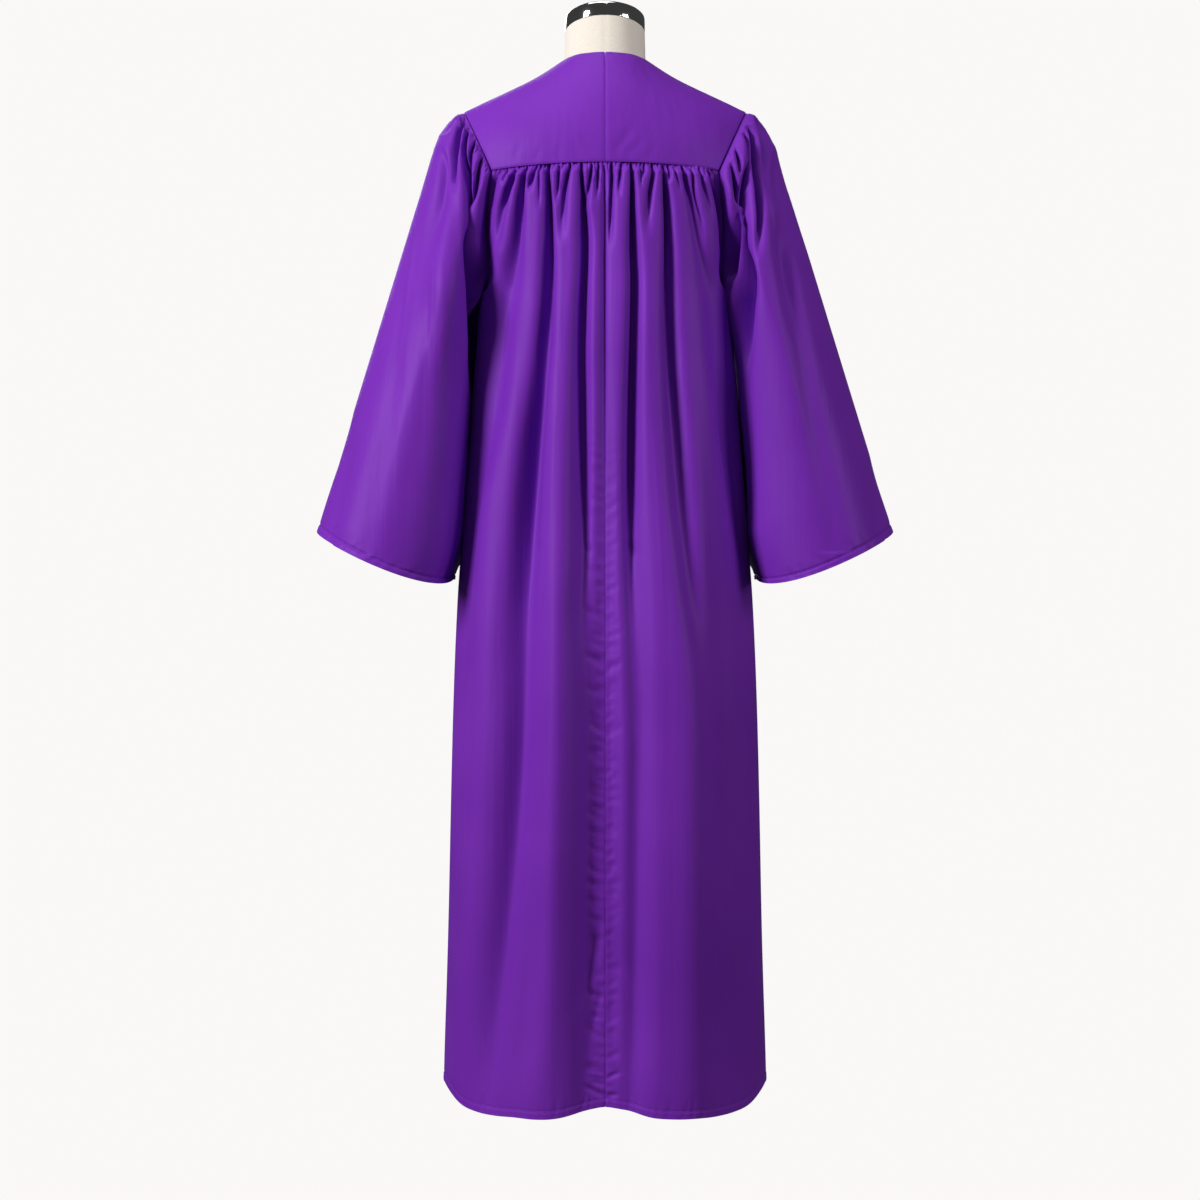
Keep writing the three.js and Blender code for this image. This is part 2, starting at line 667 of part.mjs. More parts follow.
function neckRing(share, sides) {
  const slope = Math.tan(THREE.MathUtils.degToRad(NECK_TOP.tilt)) * share;
  const bottomRadius = NECK_HALF_WIDTH - NECK_INSET;
  const radius = THREE.MathUtils.lerp(bottomRadius, NECK_TOP.radius, share);
  const centreY = NECK_TOP.y * share;
  const points = [];
  for (let k = 0; k < sides; k += 1) {
    const angle = (k / sides) * 2 * Math.PI;
    const y = radius * Math.cos(angle);
    const z = THREE.MathUtils.lerp(NECK_FOOT_Z, NECK_TOP.z - SEAM_GAP, share) + y * slope;
    points.push(new THREE.Vector3(radius * Math.sin(angle), centreY + y, z));
  }
  return points;
}

function formTorso() {
  const sides = FORM_SIDES;
  const layers = [...BODY_RINGS, ...SHOULDER_RINGS].map((z) => formRing(z, sides));
  layers.push(...NECK_RINGS.map((share) => neckRing(share, sides)));
  const vertices = layers.flat();
  const faces = [];
  for (let r = 0; r < layers.length - 1; r += 1) {
    for (let k = 0; k < sides; k += 1) {
      const next = (k + 1) % sides;
      const a = r * sides + k;
      const b = r * sides + next;
      faces.push([a, b, b + sides], [a, b + sides, a + sides]);
    }
  }
  const top = (layers.length - 1) * sides;
  for (let k = 1; k < sides - 1; k += 1) {
    faces.push([0, k + 1, k], [top, top + k, top + k + 1]);
  }
  return meshOf("form_torso", vertices, faces, LINEN);
}

// A solid of revolution about +Z from a profile of radii and heights that starts and ends on the axis
function turned(name, profile, sides, look) {
  const geometry = new THREE.LatheGeometry(profile.map(([r, z]) => new THREE.Vector2(r, z)), sides);
  geometry.rotateX(Math.PI / 2);
  const mesh = new THREE.Mesh(geometry, new THREE.MeshStandardMaterial(look));
  mesh.name = name;
  return mesh;
}

function neckCap() {
  const r = NECK_TOP.radius;
  const profile = [
    [0, 0],
    [r - CAP_ROUND, 0],
    [r, CAP_ROUND],
    [r, CAP_HEIGHT - CAP_ROUND],
    [r - CAP_ROUND, CAP_HEIGHT],
    [r * 0.6, CAP_HEIGHT + CAP_DOME * 0.7],
    [0, CAP_HEIGHT + CAP_DOME],
  ];
  const cap = turned("form_neck_cap", profile, 36, CHROME);
  cap.position.set(0, NECK_TOP.y, NECK_TOP.z);
  cap.rotation.x = THREE.MathUtils.degToRad(NECK_TOP.tilt);
  return cap;
}

function standPole() {
  const foot = BASE_HEIGHT + SEAM_GAP;
  const top = FORM_BOTTOM_Z - SEAM_GAP;
  return turned("stand_pole", [[0, foot], [POLE_RADIUS, foot], [POLE_RADIUS, top], [0, top]], 20, CHROME);
}

// The foot is a flat cross of four round-ended arms, set diagonally so that the hem hides it
function standBase() {
  const outline = new THREE.Shape();
  const quarter = Math.PI / 2;
  for (let arm = 0; arm < 4; arm += 1) {
    const angle = quarter / 2 + arm * quarter;
    const endX = FOOT_REACH * Math.cos(angle);
    const endY = FOOT_REACH * Math.sin(angle);
    outline.absarc(endX, endY, FOOT_ARM_RADIUS, angle - quarter, angle + quarter);
    const inner = FOOT_ARM_RADIUS * Math.SQRT2;
    outline.lineTo(inner * Math.cos(angle + quarter / 2), inner * Math.sin(angle + quarter / 2));
  }
  const settings = { depth: BASE_HEIGHT, bevelEnabled: false, curveSegments: 8 };
  const geometry = new THREE.ExtrudeGeometry(outline, settings);
  const mesh = new THREE.Mesh(geometry, new THREE.MeshStandardMaterial(IRON));
  mesh.name = "stand_base";
  return mesh;
}

const group = new THREE.Group();
const panels = [
  { name: "back_left", side: "back", gathers: BACK_GATHERS, folds: BACK_LEFT_FOLDS, mirrored: false },
  { name: "back_right", side: "back", gathers: BACK_GATHERS, folds: BACK_RIGHT_FOLDS, mirrored: true },
  { name: "front_left", side: "front", gathers: FRONT_GATHERS, folds: FRONT_LEFT_FOLDS, mirrored: false },
  { name: "front_right", side: "front", gathers: FRONT_GATHERS, folds: FRONT_RIGHT_FOLDS, mirrored: true },
];
group.add(clothWall("yoke_left", yokeRows(), false, false));
group.add(clothWall("yoke_right", yokeRows(), false, true));
for (const panel of panels) {
  group.add(clothWall(panel.name, panelRows(panel), false, panel.mirrored));
}
group.add(clothWall("front_placket", placketRows(), false, false));
group.add(clothWall("sleeve_left", sleeveRows(LEFT_SLEEVE_FOLDS), true, false));
group.add(clothWall("sleeve_right", sleeveRows(RIGHT_SLEEVE_FOLDS), true, true));
group.add(formTorso(), neckCap(), standPole(), standBase());

export default group;
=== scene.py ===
# %% [markdown]
# A choir robe on a dress form
#
# The robe is seen from behind, filled out by a limbless dress form. Its cloth is a smooth purple polyester
# with a soft shine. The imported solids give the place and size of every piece, and this script makes the
# finished look around them: thin cloth with gathers and long folds, hems, seams and stitches, a linen
# covered form and a bright metal neck ring.

# %% Load the fixed frame
import math

import bmesh
import bpy
import numpy as np
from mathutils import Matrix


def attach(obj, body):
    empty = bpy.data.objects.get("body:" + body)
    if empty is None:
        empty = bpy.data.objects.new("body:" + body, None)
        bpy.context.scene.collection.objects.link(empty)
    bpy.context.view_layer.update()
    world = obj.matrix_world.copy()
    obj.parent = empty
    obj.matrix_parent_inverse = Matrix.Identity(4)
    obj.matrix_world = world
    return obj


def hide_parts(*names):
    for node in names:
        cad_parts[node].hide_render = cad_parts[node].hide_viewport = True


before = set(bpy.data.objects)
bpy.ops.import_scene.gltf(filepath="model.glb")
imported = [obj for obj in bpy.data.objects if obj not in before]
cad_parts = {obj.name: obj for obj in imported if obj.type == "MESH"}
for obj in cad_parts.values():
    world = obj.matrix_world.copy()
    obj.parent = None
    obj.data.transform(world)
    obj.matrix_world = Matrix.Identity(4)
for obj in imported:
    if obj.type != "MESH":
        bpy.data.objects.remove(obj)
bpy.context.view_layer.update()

MM = 0.001

# %% [markdown]
# The camera comes first, so that every later choice can be judged from where the photographer stood: level,
# 2.6 m behind the robe and 645 mm above the floor. A 60 mm lens on a 36 mm wide sensor gives the right
# perspective, which shows in how far the hem rounds away.

# %% Camera
CAMERA_DISTANCE = 2.6
CAMERA_HEIGHT = 0.645
CAMERA_SIDE = 0.0065
CAMERA_LENS = 60
scene = bpy.context.scene


def placed(name, data):
    """A new object in the scene, made from a mesh, a lamp or a camera."""
    thing = bpy.data.objects.new(name, data)
    scene.collection.objects.link(thing)
    return thing


def add_camera():
    lens = bpy.data.cameras.new("camera")
    lens.lens = CAMERA_LENS
    lens.sensor_width = 36
    lens.clip_start = 0.05
    lens.clip_end = 60
    camera = placed("camera", lens)
    camera.location = (CAMERA_SIDE, CAMERA_DISTANCE, CAMERA_HEIGHT)
    camera.rotation_euler = (math.radians(90), 0, math.radians(180))
    scene.camera = camera
    return camera


print("camera at", tuple(add_camera().location))

# %% [markdown]
# A product photograph like this one is lit by large soft lamps in front of a pale sweep. The key lamp stands
# high on the left of the picture, which is the +X side, so every fold is brighter on its left flank. The
# other lamps are weak, because the dark troughs between the folds are what makes the cloth read as cloth. A
# narrow spot lamp lifts the shaded side of the neck. The sweep glows evenly and is hidden from the cloth.

# %% Lights, world and sweep
SOFTBOXES = [
    dict(name="key", place=(3.0, 2.1, 2.3), target=(0, 0, 0.75), width=0.9, height=1.5, watts=142),
    dict(name="fill", place=(-2.9, 1.7, 1.7), target=(0, 0, 0.6), width=0.9, height=1.5, watts=38),
    dict(name="top", place=(0.3, 0.6, 3.0), target=(0, 0, 1.0), width=1.6, height=1.2, watts=14),
    dict(name="front_side", place=(0.6, -2.8, 2.2), target=(0, 0, 0.8), width=1.8, height=1.8, watts=30),
]
SNOOT = dict(place=(-1.9, 2.0, 1.75), target=(0, 0, 1.385), watts=34, spread=5.5)
SWEEP = dict(half=8.0, bend=3.0, wall=-6.0, near=7.0, top=9.0, steps=12)
scene.view_settings.view_transform = "Standard"


def aim(light, place, target):
    """Stands a lamp at a place and turns it to a target."""
    way = np.array(target, float) - np.array(place, float)
    light.location = place
    light.rotation_euler = math.atan2(math.hypot(way[0], way[1]), -way[2]), 0, math.atan2(-way[0], way[1])


def add_softbox(name, place, target, width, height, watts):
    lamp = bpy.data.lights.new(name, "AREA")
    lamp.shape = "RECTANGLE"
    lamp.size = width
    lamp.size_y = height
    lamp.energy = watts
    aim(placed(name, lamp), place, target)


def add_snoot(place, target, watts, spread):
    lamp = bpy.data.lights.new("snoot", "SPOT")
    lamp.energy = watts
    lamp.spot_size = math.radians(spread)
    lamp.spot_blend = 0.8
    lamp.shadow_soft_size = 0.2
    aim(placed("snoot", lamp), place, target)


def tuned(made, **inputs):
    """Sets inputs of a shader node by name, where an underscore stands for a space."""
    for name, value in inputs.items():
        made.inputs[name.replace("_", " ")].default_value = value
    return made


def new_material(name):
    material = bpy.data.materials.new(name)
    material.use_nodes = True
    return material, material.node_tree, material.node_tree.nodes["Principled BSDF"]


def add_world():
    world = bpy.data.worlds.new("studio")
    world.use_nodes = True
    tuned(world.node_tree.nodes["Background"], Color=(0.93, 0.92, 0.91, 1), Strength=0.05)
    scene.world = world


def add_sweep():
    """A floor that bends up into a wall, far larger than the robe."""
    bend = SWEEP["bend"]
    profile = [(SWEEP["near"], 0.0)]
    for step in range(SWEEP["steps"] + 1):
        angle = math.pi / 2 * step / SWEEP["steps"]
        profile.append((SWEEP["wall"] + bend - bend * math.sin(angle), bend - bend * math.cos(angle)))
    profile.append((SWEEP["wall"], SWEEP["top"]))
    points = [(x, y, z) for y, z in profile for x in (-SWEEP["half"], SWEEP["half"])]
    faces = [(2 * k, 2 * k + 2, 2 * k + 3, 2 * k + 1) for k in range(len(profile) - 1)]
    mesh = bpy.data.meshes.new("sweep")
    mesh.from_pydata(points, [], faces)
    mesh.shade_smooth()
    sweep = placed("sweep", mesh)
    material, _, shader = new_material("pale_sweep")
    tuned(shader, Base_Color=(0, 0, 0, 1), Specular_IOR_Level=0, Roughness=0.9)
    tuned(shader, Emission_Color=(1.0, 0.985, 0.975, 1), Emission_Strength=0.955)
    mesh.materials.append(material)
    sweep.visible_diffuse = False
    sweep.visible_glossy = False
    return sweep


for softbox in SOFTBOXES:
    add_softbox(**softbox)
add_snoot(**SNOOT)
add_world()
print("sweep faces:", len(add_sweep().data.polygons))

# %% [markdown]
# The cut of the robe is given by a few named sizes in millimetres, as the solids have them: the yoke seam,
# the shoulder tip, the neckline, the underarm and the rings of the body. Only the back of the neck lies a
# little closer. Small helpers read such tables as smooth curves, and soft steps and bells shape the folds.

# %% Sizes of the robe and helpers
HEM_Z = 12
UNDERARM_Z = 1035
YOKE_SEAM_Z = 1192
SEAM_DROP = 4
CORNER_X = 143.5
TIP_X = 183
TIP_Z = 1279
NECK_HALF_WIDTH = 57
NECK_BACK_DEPTH = 54.5
NECK_Z = 1342
V_DEPTH = 97
SEAM_GAP = 0.3
SLEEVE_GAP = 1.1
CLOTH = 0.9
EVEN_ANGLE = math.radians(66)


def table(names, *rows):
    """A table as one dict for each row, from the names of its columns and its rows."""
    return [dict(zip(names.split(), row)) for row in rows]


RIDGE = table("x z", (-30, 1361), (0, 1369), (30, 1361), (57, 1342), (90, 1321), (134, 1300), (183, 1279))
ARMHOLE = table("z x", (1035, 158.6), (1045, 152), (1058, 148.5), (1089, 150), (1134, 151), (1192, 143.5))
BODY = table(
    "z half back front",
    (12, 209, 165, 165),
    (125, 206, 160, 160),
    (385, 197, 150, 150),
    (645, 185, 135, 135),
    (775, 176, 125, 125),
    (905, 166, 118, 118),
    (1035, 158.6, 112, 112),
    (1089, 168, 110, 105),
    (1134, 181, 108, 99),
    (1192, 200, 105, 92))


def through(xs, ys, x):
    """Smooth curve through the points, level beyond its ends."""
    xs = np.asarray(xs, float)
    ys = np.asarray(ys, float)
    if xs[0] > xs[-1]:
        xs = xs[::-1]
        ys = ys[::-1]
    x = np.clip(np.asarray(x, float), xs[0], xs[-1])
    k = np.clip(np.searchsorted(xs, x, side="right") - 1, 0, len(xs) - 2)
    slope = np.empty(len(xs))
    slope[1:-1] = (ys[2:] - ys[:-2]) / (xs[2:] - xs[:-2])
    slope[0] = (ys[1] - ys[0]) / (xs[1] - xs[0])
    slope[-1] = (ys[-1] - ys[-2]) / (xs[-1] - xs[-2])
    span = xs[k + 1] - xs[k]
    t = (x - xs[k]) / span
    rise = t * t * (3 - 2 * t)
    bow = slope[k] * t * (1 - t) ** 2 - slope[k + 1] * t * t * (1 - t)
    return ys[k] * (1 - rise) + ys[k + 1] * rise + span * bow


def column(table, key, value, x):
    return through([row[key] for row in table], [row[value] for row in table], x)


def smooth(x, low, high):
    t = np.clip((np.asarray(x, float) - low) / (high - low), 0, 1)
    return t * t * (3 - 2 * t)


def bell(x):
    return np.exp(-np.square(x))


def trough(off, width):
    """Cross-section of a fold: sharp at the bottom and round at the shoulders if narrow, soft if broad."""
    sharp = 0.45 * (1 - smooth(width, 4, 9))
    return sharp * bell(off / (0.6 * width)) + (1 - sharp) * bell(off / (1.15 * width))


def travelled(points, axis):
    """Distance of each point of a line or grid from its first one, measured along an axis of the grid."""
    steps = np.linalg.norm(np.diff(points, axis=axis), axis=-1)
    start = np.zeros_like(steps.take([0], axis=axis))
    return np.concatenate([start, np.cumsum(steps, axis=axis)], axis=axis)


def unit(v):
    return v / np.linalg.norm(v, axis=-1, keepdims=True)


print("waist half width:", float(column(BODY, "z", "half", 960)))

# %% [markdown]
# The body of the robe is a stack of ellipses. A point on it is found from its height and its angle, which
# runs from 0 at the centre seam to a right angle at the side seam. Above the underarm the cloth stops short
# at the armhole. The yoke is one smooth surface over the shoulder, and the sleeve runs from the armhole,
# which is a closed loop, down to the tilted ring of the cuff. Its inner side is tucked close to the body
# and a little forwards, so that no light shows between them from behind until just above the cuff.

# %% Base surfaces
CUFF = dict(x=283, z=704.5, half_width=90, half_depth=115, tilt=31.5, sag_back=18, sag_front=6, square=0.72)
SLEEVE_LENGTH = 580
HEAD_PUFF = dict(height=22.5, sideways=0.944, upward=0.33, rise=32)
SIDE_CLEARANCE = 3
TUCK = dict(forward=44, clearance=2.2, lead=22, drop=34, slow=170, until=0.82, sharp=9)


def edge_angle(z):
    reach = column(ARMHOLE, "z", "x", z) / column(BODY, "z", "half", z)
    return np.where(z <= UNDERARM_Z, math.pi / 2, np.arcsin(np.minimum(1, reach)))


def column_angle(share, z):
    edge = edge_angle(z)
    even = np.minimum(edge, EVEN_ANGLE)
    return even * share + (edge - even) * share**4


def seam_drop(x):
    return SEAM_DROP * (x / CORNER_X) ** 2


def body_point(z, angle, side):
    """Points and outward normals of the body at a height and an angle."""
    a = column(BODY, "z", "half", z)
    b = column(BODY, "z", side, z)
    away = 1 if side == "back" else -1
    x = a * np.sin(angle)
    y = away * b * np.cos(angle)
    drop = seam_drop(x) * smooth(z, 1080, YOKE_SEAM_Z)
    normal = np.stack([np.sin(angle) / a, away * np.cos(angle) / b, np.zeros_like(x)], -1)
    return np.stack([x, y, z - drop], -1), unit(normal)


def yoke_point(x, turn):
    """Points of the yoke: turn is a right angle at the back seam, 0 on the shoulder, negative in front."""
    foot = YOKE_SEAM_Z - seam_drop(x)
    ridge = column(RIDGE, "x", "z", x)
    depth = np.where(turn >= 0, BODY[-1]["back"], BODY[-1]["front"])
    width = np.sqrt(1 - (x / BODY[-1]["half"]) ** 2)
    return np.stack([x, depth * width * np.sin(turn), foot + (ridge - foot) * np.cos(turn)], -1)


def yoke_normal(x, turn):
    step = 0.01
    along_x = yoke_point(x + step, turn) - yoke_point(x - step, turn)
    along_turn = yoke_point(x, turn + step) - yoke_point(x, turn - step)
    normal = unit(np.cross(along_x, along_turn))
    flip = (normal[..., 2] < 0) | (normal[..., 1] * turn < 0)
    normal[flip] *= -1
    normal[..., 0] *= smooth(x, 0, 25)
    return unit(normal)


def turn_at_height(x, z):
    foot = YOKE_SEAM_Z - seam_drop(x)
    ridge = column(RIDGE, "x", "z", x)
    return np.arccos(np.clip((z - foot) / (ridge - foot), -1, 1))


def yoke_armhole(share, away):
    x = TIP_X - (TIP_X - CORNER_X) * share
    z = TIP_Z - (TIP_Z - (YOKE_SEAM_Z - SEAM_DROP)) * share
    return x, away * turn_at_height(x, z)


def armhole_loop():
    """The armhole as a closed loop of points: tip, back corner, underarm, front corner, tip."""
    halves = []
    for side, away in (("back", 1), ("front", -1)):
        share = np.linspace(0, 1, 60)
        upper = yoke_point(*yoke_armhole(share, away))
        z = np.concatenate([np.linspace(1190, 1046, 60), np.linspace(1045, UNDERARM_Z, 24)])
        lower, _ = body_point(z, edge_angle(z), side)
        halves.append(np.concatenate([upper, lower]))
    loop = np.concatenate([halves[0], halves[1][::-1]])
    soft = loop.copy()
    for _ in range(3):
        soft[1:-1] = (soft[:-2] + 2 * soft[1:-1] + soft[2:]) / 4
    length = travelled(soft, 0)
    return soft, length / length[-1]


LOOP, LOOP_SHARE = armhole_loop()


def tuck_in(point, inner, down):
    """Lays the inner side of a sleeve close to the body and a little forwards; inner is 1 in the armpit."""
    under = UNDERARM_Z + TUCK["lead"] - point[..., 2]
    tuck = inner ** TUCK["sharp"] * smooth(under, 0, TUCK["drop"]) * smooth(down, 0, 0.03)
    tuck = tuck * (1 - smooth(down, TUCK["until"], 1))
    point[..., 1] -= TUCK["forward"] * tuck * smooth(under, 0, TUCK["slow"])
    half = column(BODY, "z", "half", point[..., 2])
    lean = np.clip(point[..., 1] / column(BODY, "z", "front", point[..., 2]), -0.98, 0.98)
    beside = half * np.sqrt(1 - lean**2) + TUCK["clearance"]
    point[..., 0] += tuck * (beside - point[..., 0])
    return point


def sleeve_point(around, down):
    """Points of the sleeve before its folds, from the armhole at 0 to the cuff at 1."""
    turned = np.mod(around, 1.0)
    top = np.stack([np.interp(turned, LOOP_SHARE, LOOP[:, k]) for k in range(3)], -1)
    top[..., 0] += SLEEVE_GAP
    angle = turned * 2 * math.pi
    cos = np.cos(angle)
    sin = np.sin(angle)
    inner = 0.5 - 0.5 * cos
    sag = np.where(angle <= math.pi, CUFF["sag_back"], CUFF["sag_front"]) * np.abs(sin) * (1 - 0.3 * cos)
    fuller = np.where(cos < 0, (np.abs(sin) + 1e-6) ** (CUFF["square"] - 1), 1)
    cuff_x = CUFF["x"] + CUFF["half_width"] * cos
    cuff_y = CUFF["half_depth"] * sin * fuller
    cuff = np.stack([cuff_x, cuff_y, CUFF["z"] + CUFF["tilt"] * cos - sag], -1)
    puff = HEAD_PUFF["height"] * (1 - inner) * (1 - down) * (1 - np.exp(-HEAD_PUFF["rise"] * down))
    point = top * (1 - down)[..., None] + cuff * down[..., None]
    point[..., 0] += HEAD_PUFF["sideways"] * cos * puff + SIDE_CLEARANCE * inner * (1 - np.exp(-20 * down))
    point[..., 1] += sin * puff
    point[..., 2] += HEAD_PUFF["upward"] * cos * puff
    return tuck_in(point, inner, down)


def sleeve_normal(around, down):
    step = 0.012
    along_loop = sleeve_point(around + step, down) - sleeve_point(around - step, down)
    below = np.minimum(down + step, 1)
    above = np.maximum(down - step, 0)
    along_sleeve = sleeve_point(around, below) - sleeve_point(around, above)
    return unit(np.cross(along_sleeve, along_loop))


print("armhole loop points:", len(LOOP))

# %% [markdown]
# Every cloth piece is a thin closed wall made from a grid of points: the outer face carries the folds, and
# the inner face lies one cloth thickness behind it along the smooth surface's own normal, so the wall can
# never cross itself. The grid also gives each point its place on the cloth in metres, kept as a UV map, so
# that the weave follows the fabric and not the room. Folds are first worked out on a grid with very many
# columns; crowd_columns then keeps only some of them, close together on the steep flanks of the folds.

# %% Walls of cloth from grids
SHARP_ANGLE = math.radians(55)
CROWDING = 2.6
STITCH_LINES = {}
FLANGE = dict(corner=0.3, reach=5, depth=3.6)
THREAD_RISE = 0.12
MIRROR = np.array([-1, 1, 1])


def grid_faces(rows, columns, closed):
    """Quads of a grid of points, and of the rim that joins its outer face to its inner one."""
    across = columns if closed else columns - 1
    row, col = np.meshgrid(np.arange(rows - 1), np.arange(across), indexing="ij")
    row = row.ravel()
    col = col.ravel()
    side = (col + 1) % columns
    a = row * columns + col
    b = row * columns + side
    c = (row + 1) * columns + side
    d = (row + 1) * columns + col
    count = rows * columns
    outer = np.stack([a, b, c, d], -1)
    inner = np.stack([d, c, b, a], -1) + count
    col = np.arange(across)
    side = (col + 1) % columns
    last = (rows - 1) * columns
    rims = [
        np.stack([side, col, col + count, side + count], -1),
        np.stack([last + col, last + side, last + side + count, last + col + count], -1),
    ]
    if not closed:
        start = np.arange(rows - 1) * columns
        end = start + columns - 1
        rims.append(np.stack([start, start + columns, start + columns + count, start + count], -1))
        rims.append(np.stack([end + columns, end, end + count, end + columns + count], -1))
    return np.concatenate([outer, inner, *rims])


def new_object(name, points_mm, quads, uv):
    """A mesh object from points in millimetres and quads, turned so that its faces point outwards."""
    corners = points_mm[quads]
    first = np.einsum("ij,ij->i", corners[:, 0], np.cross(corners[:, 1], corners[:, 2]))
    second = np.einsum("ij,ij->i", corners[:, 0], np.cross(corners[:, 2], corners[:, 3]))
    if (first + second).sum() < 0:
        quads = quads[:, ::-1]
    quads = np.ascontiguousarray(quads, dtype=np.int32)
    mesh = bpy.data.meshes.new(name)
    mesh.vertices.add(len(points_mm))
    mesh.vertices.foreach_set("co", (points_mm * MM).ravel())
    mesh.loops.add(quads.size)
    mesh.loops.foreach_set("vertex_index", quads.ravel())
    mesh.polygons.add(len(quads))
    mesh.polygons.foreach_set("loop_start", np.arange(0, quads.size, 4, dtype=np.int32))
    mesh.update(calc_edges=True)
    mesh.polygons.foreach_set("use_smooth", np.ones(len(quads), bool))
    layer = mesh.uv_layers.new(name="cloth")
    layer.data.foreach_set("uv", (uv[quads.ravel()] * MM).ravel())
    mesh.set_sharp_from_angle(angle=SHARP_ANGLE)
    return placed(name, mesh)


def with_allowance(base, normal, height, thickness, row):
    """Adds a first row of points: the cut edge, turned in and hidden behind the seam."""
    normal, height, thickness = (np.concatenate([grid[:1], grid]) for grid in (normal, height, thickness))
    return np.concatenate([row[None], base]), normal, height, thickness


def with_flange(base, normal, height, thickness, direction):
    """Adds two first columns: the seam allowance, turned in and laid behind the piece on the other side."""
    direction = np.array(direction, float)
    corner = base[:, :1] - direction * FLANGE["corner"]
    tip = base[:, :1] + direction * FLANGE["reach"]
    low = height[:, :1] - FLANGE["depth"]

    def doubled(grid):
        return np.concatenate([grid[:, :1], grid[:, :1], grid], axis=1)

    base = np.concatenate([tip, corner, base], axis=1)
    height = np.concatenate([low, low, height], axis=1)
    return base, doubled(normal), height, doubled(thickness)


def flipped(*grids):
    return [grid[:, ::-1] for grid in grids]


def blurred(values, passes, axis):
    """Values of a grid after a few passes of averaging with their neighbours."""
    values = np.moveaxis(values, axis, 0).copy()
    for _ in range(passes):
        padded = np.concatenate([values[:1], values, values[-1:]])
        values = (padded[:-2] + 2 * padded[1:-1] + padded[2:]) / 4
    return np.moveaxis(values, 0, axis)


def crowd_columns(base, normal, height, count):
    """Picks fewer columns from a fine grid, closer together where the cloth bends."""
    step = np.maximum(np.linalg.norm(np.diff(base, axis=1), axis=-1), 1e-6)
    slope = np.abs(np.diff(height, axis=1)) / step
    weight = step * (1 + CROWDING * np.minimum(blurred(slope, 3, 1), 2.5))
    weight = blurred(weight, 20, 0)
    share = np.concatenate([np.zeros((len(base), 1)), np.cumsum(weight, axis=1)], axis=1)
    fine = np.arange(base.shape[1])
    wanted = np.linspace(0, 1, count)
    place = np.stack([np.interp(wanted, row / row[-1], fine) for row in share])
    left = np.minimum(place.astype(int), len(fine) - 2)
    part = place - left
    rows = np.arange(len(base))[:, None]

    def pick(grid):
        mix = part[..., None] if grid.ndim == 3 else part
        return grid[rows, left] * (1 - mix) + grid[rows, left + 1] * mix

    return pick(base), unit(pick(normal)), pick(height), pick


def line_across(points, value, wanted):
    """One point for each column of a grid, where a value that changes down the column is the wanted one."""
    if value[0, 0] > value[-1, 0]:
        points = points[::-1]
        value = value[::-1]
    rows = np.arange(len(value))
    at = np.array([np.interp(wanted, column_values, rows) for column_values in value.T])
    above = np.minimum(at.astype(int), len(rows) - 2)
    part = (at - above)[:, None]
    columns = np.arange(value.shape[1])
    return points[above, columns] * (1 - part) + points[above + 1, columns] * part


def trace_stitches(name, base, normal, height, mirrored, value, wanted):
    """Keeps a line on the outer face of a cloth piece, along which its stitches are sewn later."""
    outer = (base + normal * (height[..., None] + THREAD_RISE)) * (MIRROR if mirrored else 1)
    STITCH_LINES.setdefault(name, []).append(line_across(outer, value, wanted))


def cloth_wall(name, base, normal, height, thickness, closed=False, mirrored=False):
    """Closed wall of cloth over a grid of base points, with its folds as heights along the normals."""
    outer = base + normal * height[..., None]
    inner = outer - normal * np.broadcast_to(thickness, height.shape)[..., None]
    points = np.concatenate([outer.reshape(-1, 3), inner.reshape(-1, 3)])
    uv = np.tile(np.stack([travelled(base, 1).ravel(), travelled(base, 0).ravel()], -1), (2, 1))
    if mirrored:
        points = points * MIRROR
    piece = new_object(name, points, grid_faces(*height.shape, closed), uv)
    piece.data.materials.append(ROBE_CLOTH)
    return piece


def tell(*pieces):
    """Prints the faces of cloth pieces and half the area of their thin walls, in square metres."""
    for piece in pieces:
        area = sum(face.area for face in piece.data.polygons) / 2
        print(piece.name, "faces", len(piece.data.polygons), "area", round(area, 3))


print("a 3 by 3 wall has", len(grid_faces(3, 3, False)), "faces")

# %% [markdown]
# The cloth's finish is procedural. The dye varies a little over the cloth, the threads give a very fine
# bump that follows the UV map, and the satin shine is a middling roughness with a touch of sheen.

# %% Robe cloth
THREADS_PER_METRE = 2200
STREAK_SCALE = (85, 85, 2.2)
STREAK_DEPTH = 0.0016


def node(tree, kind, **inputs):
    return tuned(tree.nodes.new(kind), **inputs)


def cloud(tree, place, scale, detail, **more):
    """Fac output of a noise texture that is read at a place."""
    made = node(tree, "ShaderNodeTexNoise", Scale=scale, Detail=detail, **more)
    tree.links.new(place, made.inputs["Vector"])
    return made.outputs["Fac"]


def stretched(tree, place, scale):
    made = node(tree, "ShaderNodeMapping", Scale=scale)
    tree.links.new(place, made.inputs["Vector"])
    return made.outputs["Vector"]


def ramp(tree, source, low, high, low_color, high_color):
    made = tree.nodes.new("ShaderNodeValToRGB")
    for element, position, color in zip(made.color_ramp.elements, (low, high), (low_color, high_color)):
        element.position = position
        element.color = color
    tree.links.new(source, made.inputs["Fac"])
    return made.outputs["Color"]


def bump(tree, source, normal, strength, depth):
    """A bump from a source into a normal input; what it returns takes a second bump."""
    made = node(tree, "ShaderNodeBump", Strength=strength, Distance=depth)
    tree.links.new(source, made.inputs["Height"])
    tree.links.new(made.outputs["Normal"], normal)
    return made.inputs["Normal"]


